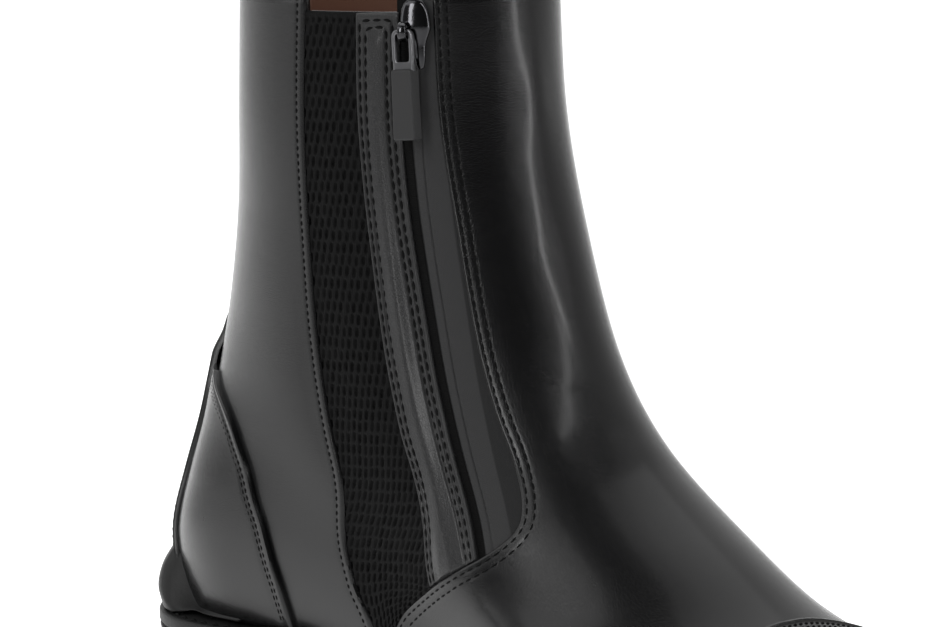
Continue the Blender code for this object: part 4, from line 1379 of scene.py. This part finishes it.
# %% [markdown]
# ## Light and stage
# The boot stands on a plain pale floor in a white room. Polished black leather shows mainly what it reflects,
# so the room is dark where the camera stands and pale behind the boot, the floor glows softly there, and two
# narrow bright strips on the right, one upright and one slanting, draw the highlight down the front.

# %% Nodes that know the camera's side
def turned_parts(tree, output):
    """x, y and z of a place or direction, turned so that y leads straight away from the camera's side."""
    turned = node(tree, "ShaderNodeVectorRotate", rotation_type="Z_AXIS")
    turned.inputs["Angle"].default_value = -CAMERA_TURN
    tree.links.new(node(tree, "ShaderNodeTexCoord").outputs[output], turned.inputs["Vector"])
    parts = node(tree, "ShaderNodeSeparateXYZ")
    tree.links.new(turned.outputs["Vector"], parts.inputs["Vector"])
    return parts.outputs


def soft_range(tree, value, reach, ends):
    """An S curve from one end value to the other while a linked value crosses its reach."""
    made = node(tree, "ShaderNodeMapRange", interpolation_type="SMOOTHSTEP")
    made.inputs["From Min"].default_value, made.inputs["From Max"].default_value = reach
    made.inputs["To Min"].default_value, made.inputs["To Max"].default_value = ends
    tree.links.new(value, made.inputs["Value"])
    return made.outputs["Result"]


# %% Floor
FLOOR_HALF = 6.0
# in metres behind the boot, where the glow starts and is full, and its two strengths
GLOW_FROM, GLOW = (-0.35, 0.14), (0.06, 0.9)
# slopes to the side between which the glow fades, its two shares, and how far in front the slopes meet
ASIDE_FROM, ASIDE, ASIDE_FAR = (0.15, 0.5), (1.0, 0.3), 1.3


def floor_material():
    """Pale floor that glows behind the boot and less to both sides: the product of two S curves."""
    made, tree, shader = start_material("pale_floor")
    parts = turned_parts(tree, "Object")
    far = math_node(tree, "ADD", parts["Y"], ASIDE_FAR)
    slope = math_node(tree, "ABSOLUTE", math_node(tree, "DIVIDE", parts["X"], far), 0.0)
    glow = soft_range(tree, parts["Y"], GLOW_FROM, GLOW)
    shine = math_node(tree, "MULTIPLY", glow, soft_range(tree, slope, ASIDE_FROM, ASIDE))
    tree.links.new(shine, shader.inputs["Emission Strength"])
    shader.inputs["Base Color"].default_value = (0.8, 0.8, 0.8, 1.0)
    shader.inputs["Emission Color"].default_value = (1.0, 1.0, 1.0, 1.0)
    shader.inputs["Roughness"].default_value = 0.6
    return made


floor_mesh = bpy.data.meshes.new("floor")
corners = FLOOR_HALF * np.array([(-1, -1), (1, -1), (1, 1), (-1, 1)])
floor_mesh.from_pydata([(x, y, 0.0) for x, y in corners], [], [(0, 1, 2, 3)])
floor_mesh.materials.append(floor_material())
floor = bpy.data.objects.new("floor", floor_mesh)
bpy.context.scene.collection.objects.link(floor)

# %% Room
ROOM_STRENGTH = 1.25
# turn from the camera's side in degrees, below 0 to the left, and brightness
ROOM = (
    (-180, 0.65), (-130, 0.45), (-105, 0.30), (-80, 0.15), (-60, 0.09), (-30, 0.05), (10, 0.04), (30, 0.03),
    (70, 0.09), (92, 0.28), (120, 0.28), (150, 0.46), (180, 0.65),
)


def studio_room(stops):
    """Brightness of the room by its turn from the camera's side, read between the stops."""
    world = bpy.data.worlds.new("studio")
    bpy.context.scene.world = world
    world.use_nodes = True
    tree = world.node_tree
    parts = turned_parts(tree, "Generated")
    angle = math_node(tree, "ARCTAN2", parts["X"], math_node(tree, "MULTIPLY", parts["Y"], -1.0))
    share = node(tree, "ShaderNodeMapRange")
    share.inputs["From Min"].default_value, share.inputs["From Max"].default_value = -math.pi, math.pi
    tree.links.new(angle, share.inputs["Value"])
    ramp = node(tree, "ShaderNodeValToRGB")
    tree.links.new(share.outputs["Result"], ramp.inputs["Fac"])
    elements = ramp.color_ramp.elements
    elements.remove(elements[1])
    for turn, value in stops:
        stop = elements.new(turn / 360 + 0.5)
        stop.color = (value, value, value, 1.0)
    elements.remove(elements[0])
    background = tree.nodes["Background"]
    tree.links.new(ramp.outputs["Color"], background.inputs["Color"])
    background.inputs["Strength"].default_value = ROOM_STRENGTH


studio_room(ROOM)

# %% Lamps
# name, turn from the camera's side and rise in degrees, distance, width, height, power, roll in degrees
LAMPS = (
    ("left_softbox", -88, 22, 1.5, 0.7, 1.1, 2.2, 0),
    ("front_softbox", -28, 22, 1.6, 0.3, 0.9, 4.2, 0),
    ("high_softbox", -50, 45, 1.6, 1.1, 0.8, 2.6, 0),
    ("right_strip", 68, 10, 1.5, 0.10, 0.85, 2.4, 0),
    ("slant_strip", 45, 38, 1.5, 0.12, 1.1, 1.8, 54),
    ("top_softbox", 145, 70, 1.6, 1.6, 1.6, 4.0, 0),
)


def lamp(name, turn, rise, far, wide, high, power, roll):
    """A soft box: an area light that faces the boot and is rolled about its own axis."""
    light = bpy.data.lights.new(name, "AREA")
    light.shape, light.size, light.size_y, light.energy = "RECTANGLE", wide, high, power
    made = bpy.data.objects.new(name, light)
    away = direction(CAMERA_TURN + math.radians(turn), math.radians(rise))
    rolled = Quaternion((0, 0, 1), math.radians(roll))
    made.location = CAMERA_TARGET + away * far
    made.rotation_euler = (away.to_track_quat("Z", "Y") @ rolled).to_euler()
    bpy.context.scene.collection.objects.link(made)


for row in LAMPS:
    lamp(*row)
bpy.context.scene.view_settings.view_transform = "Standard"
print("stage set")
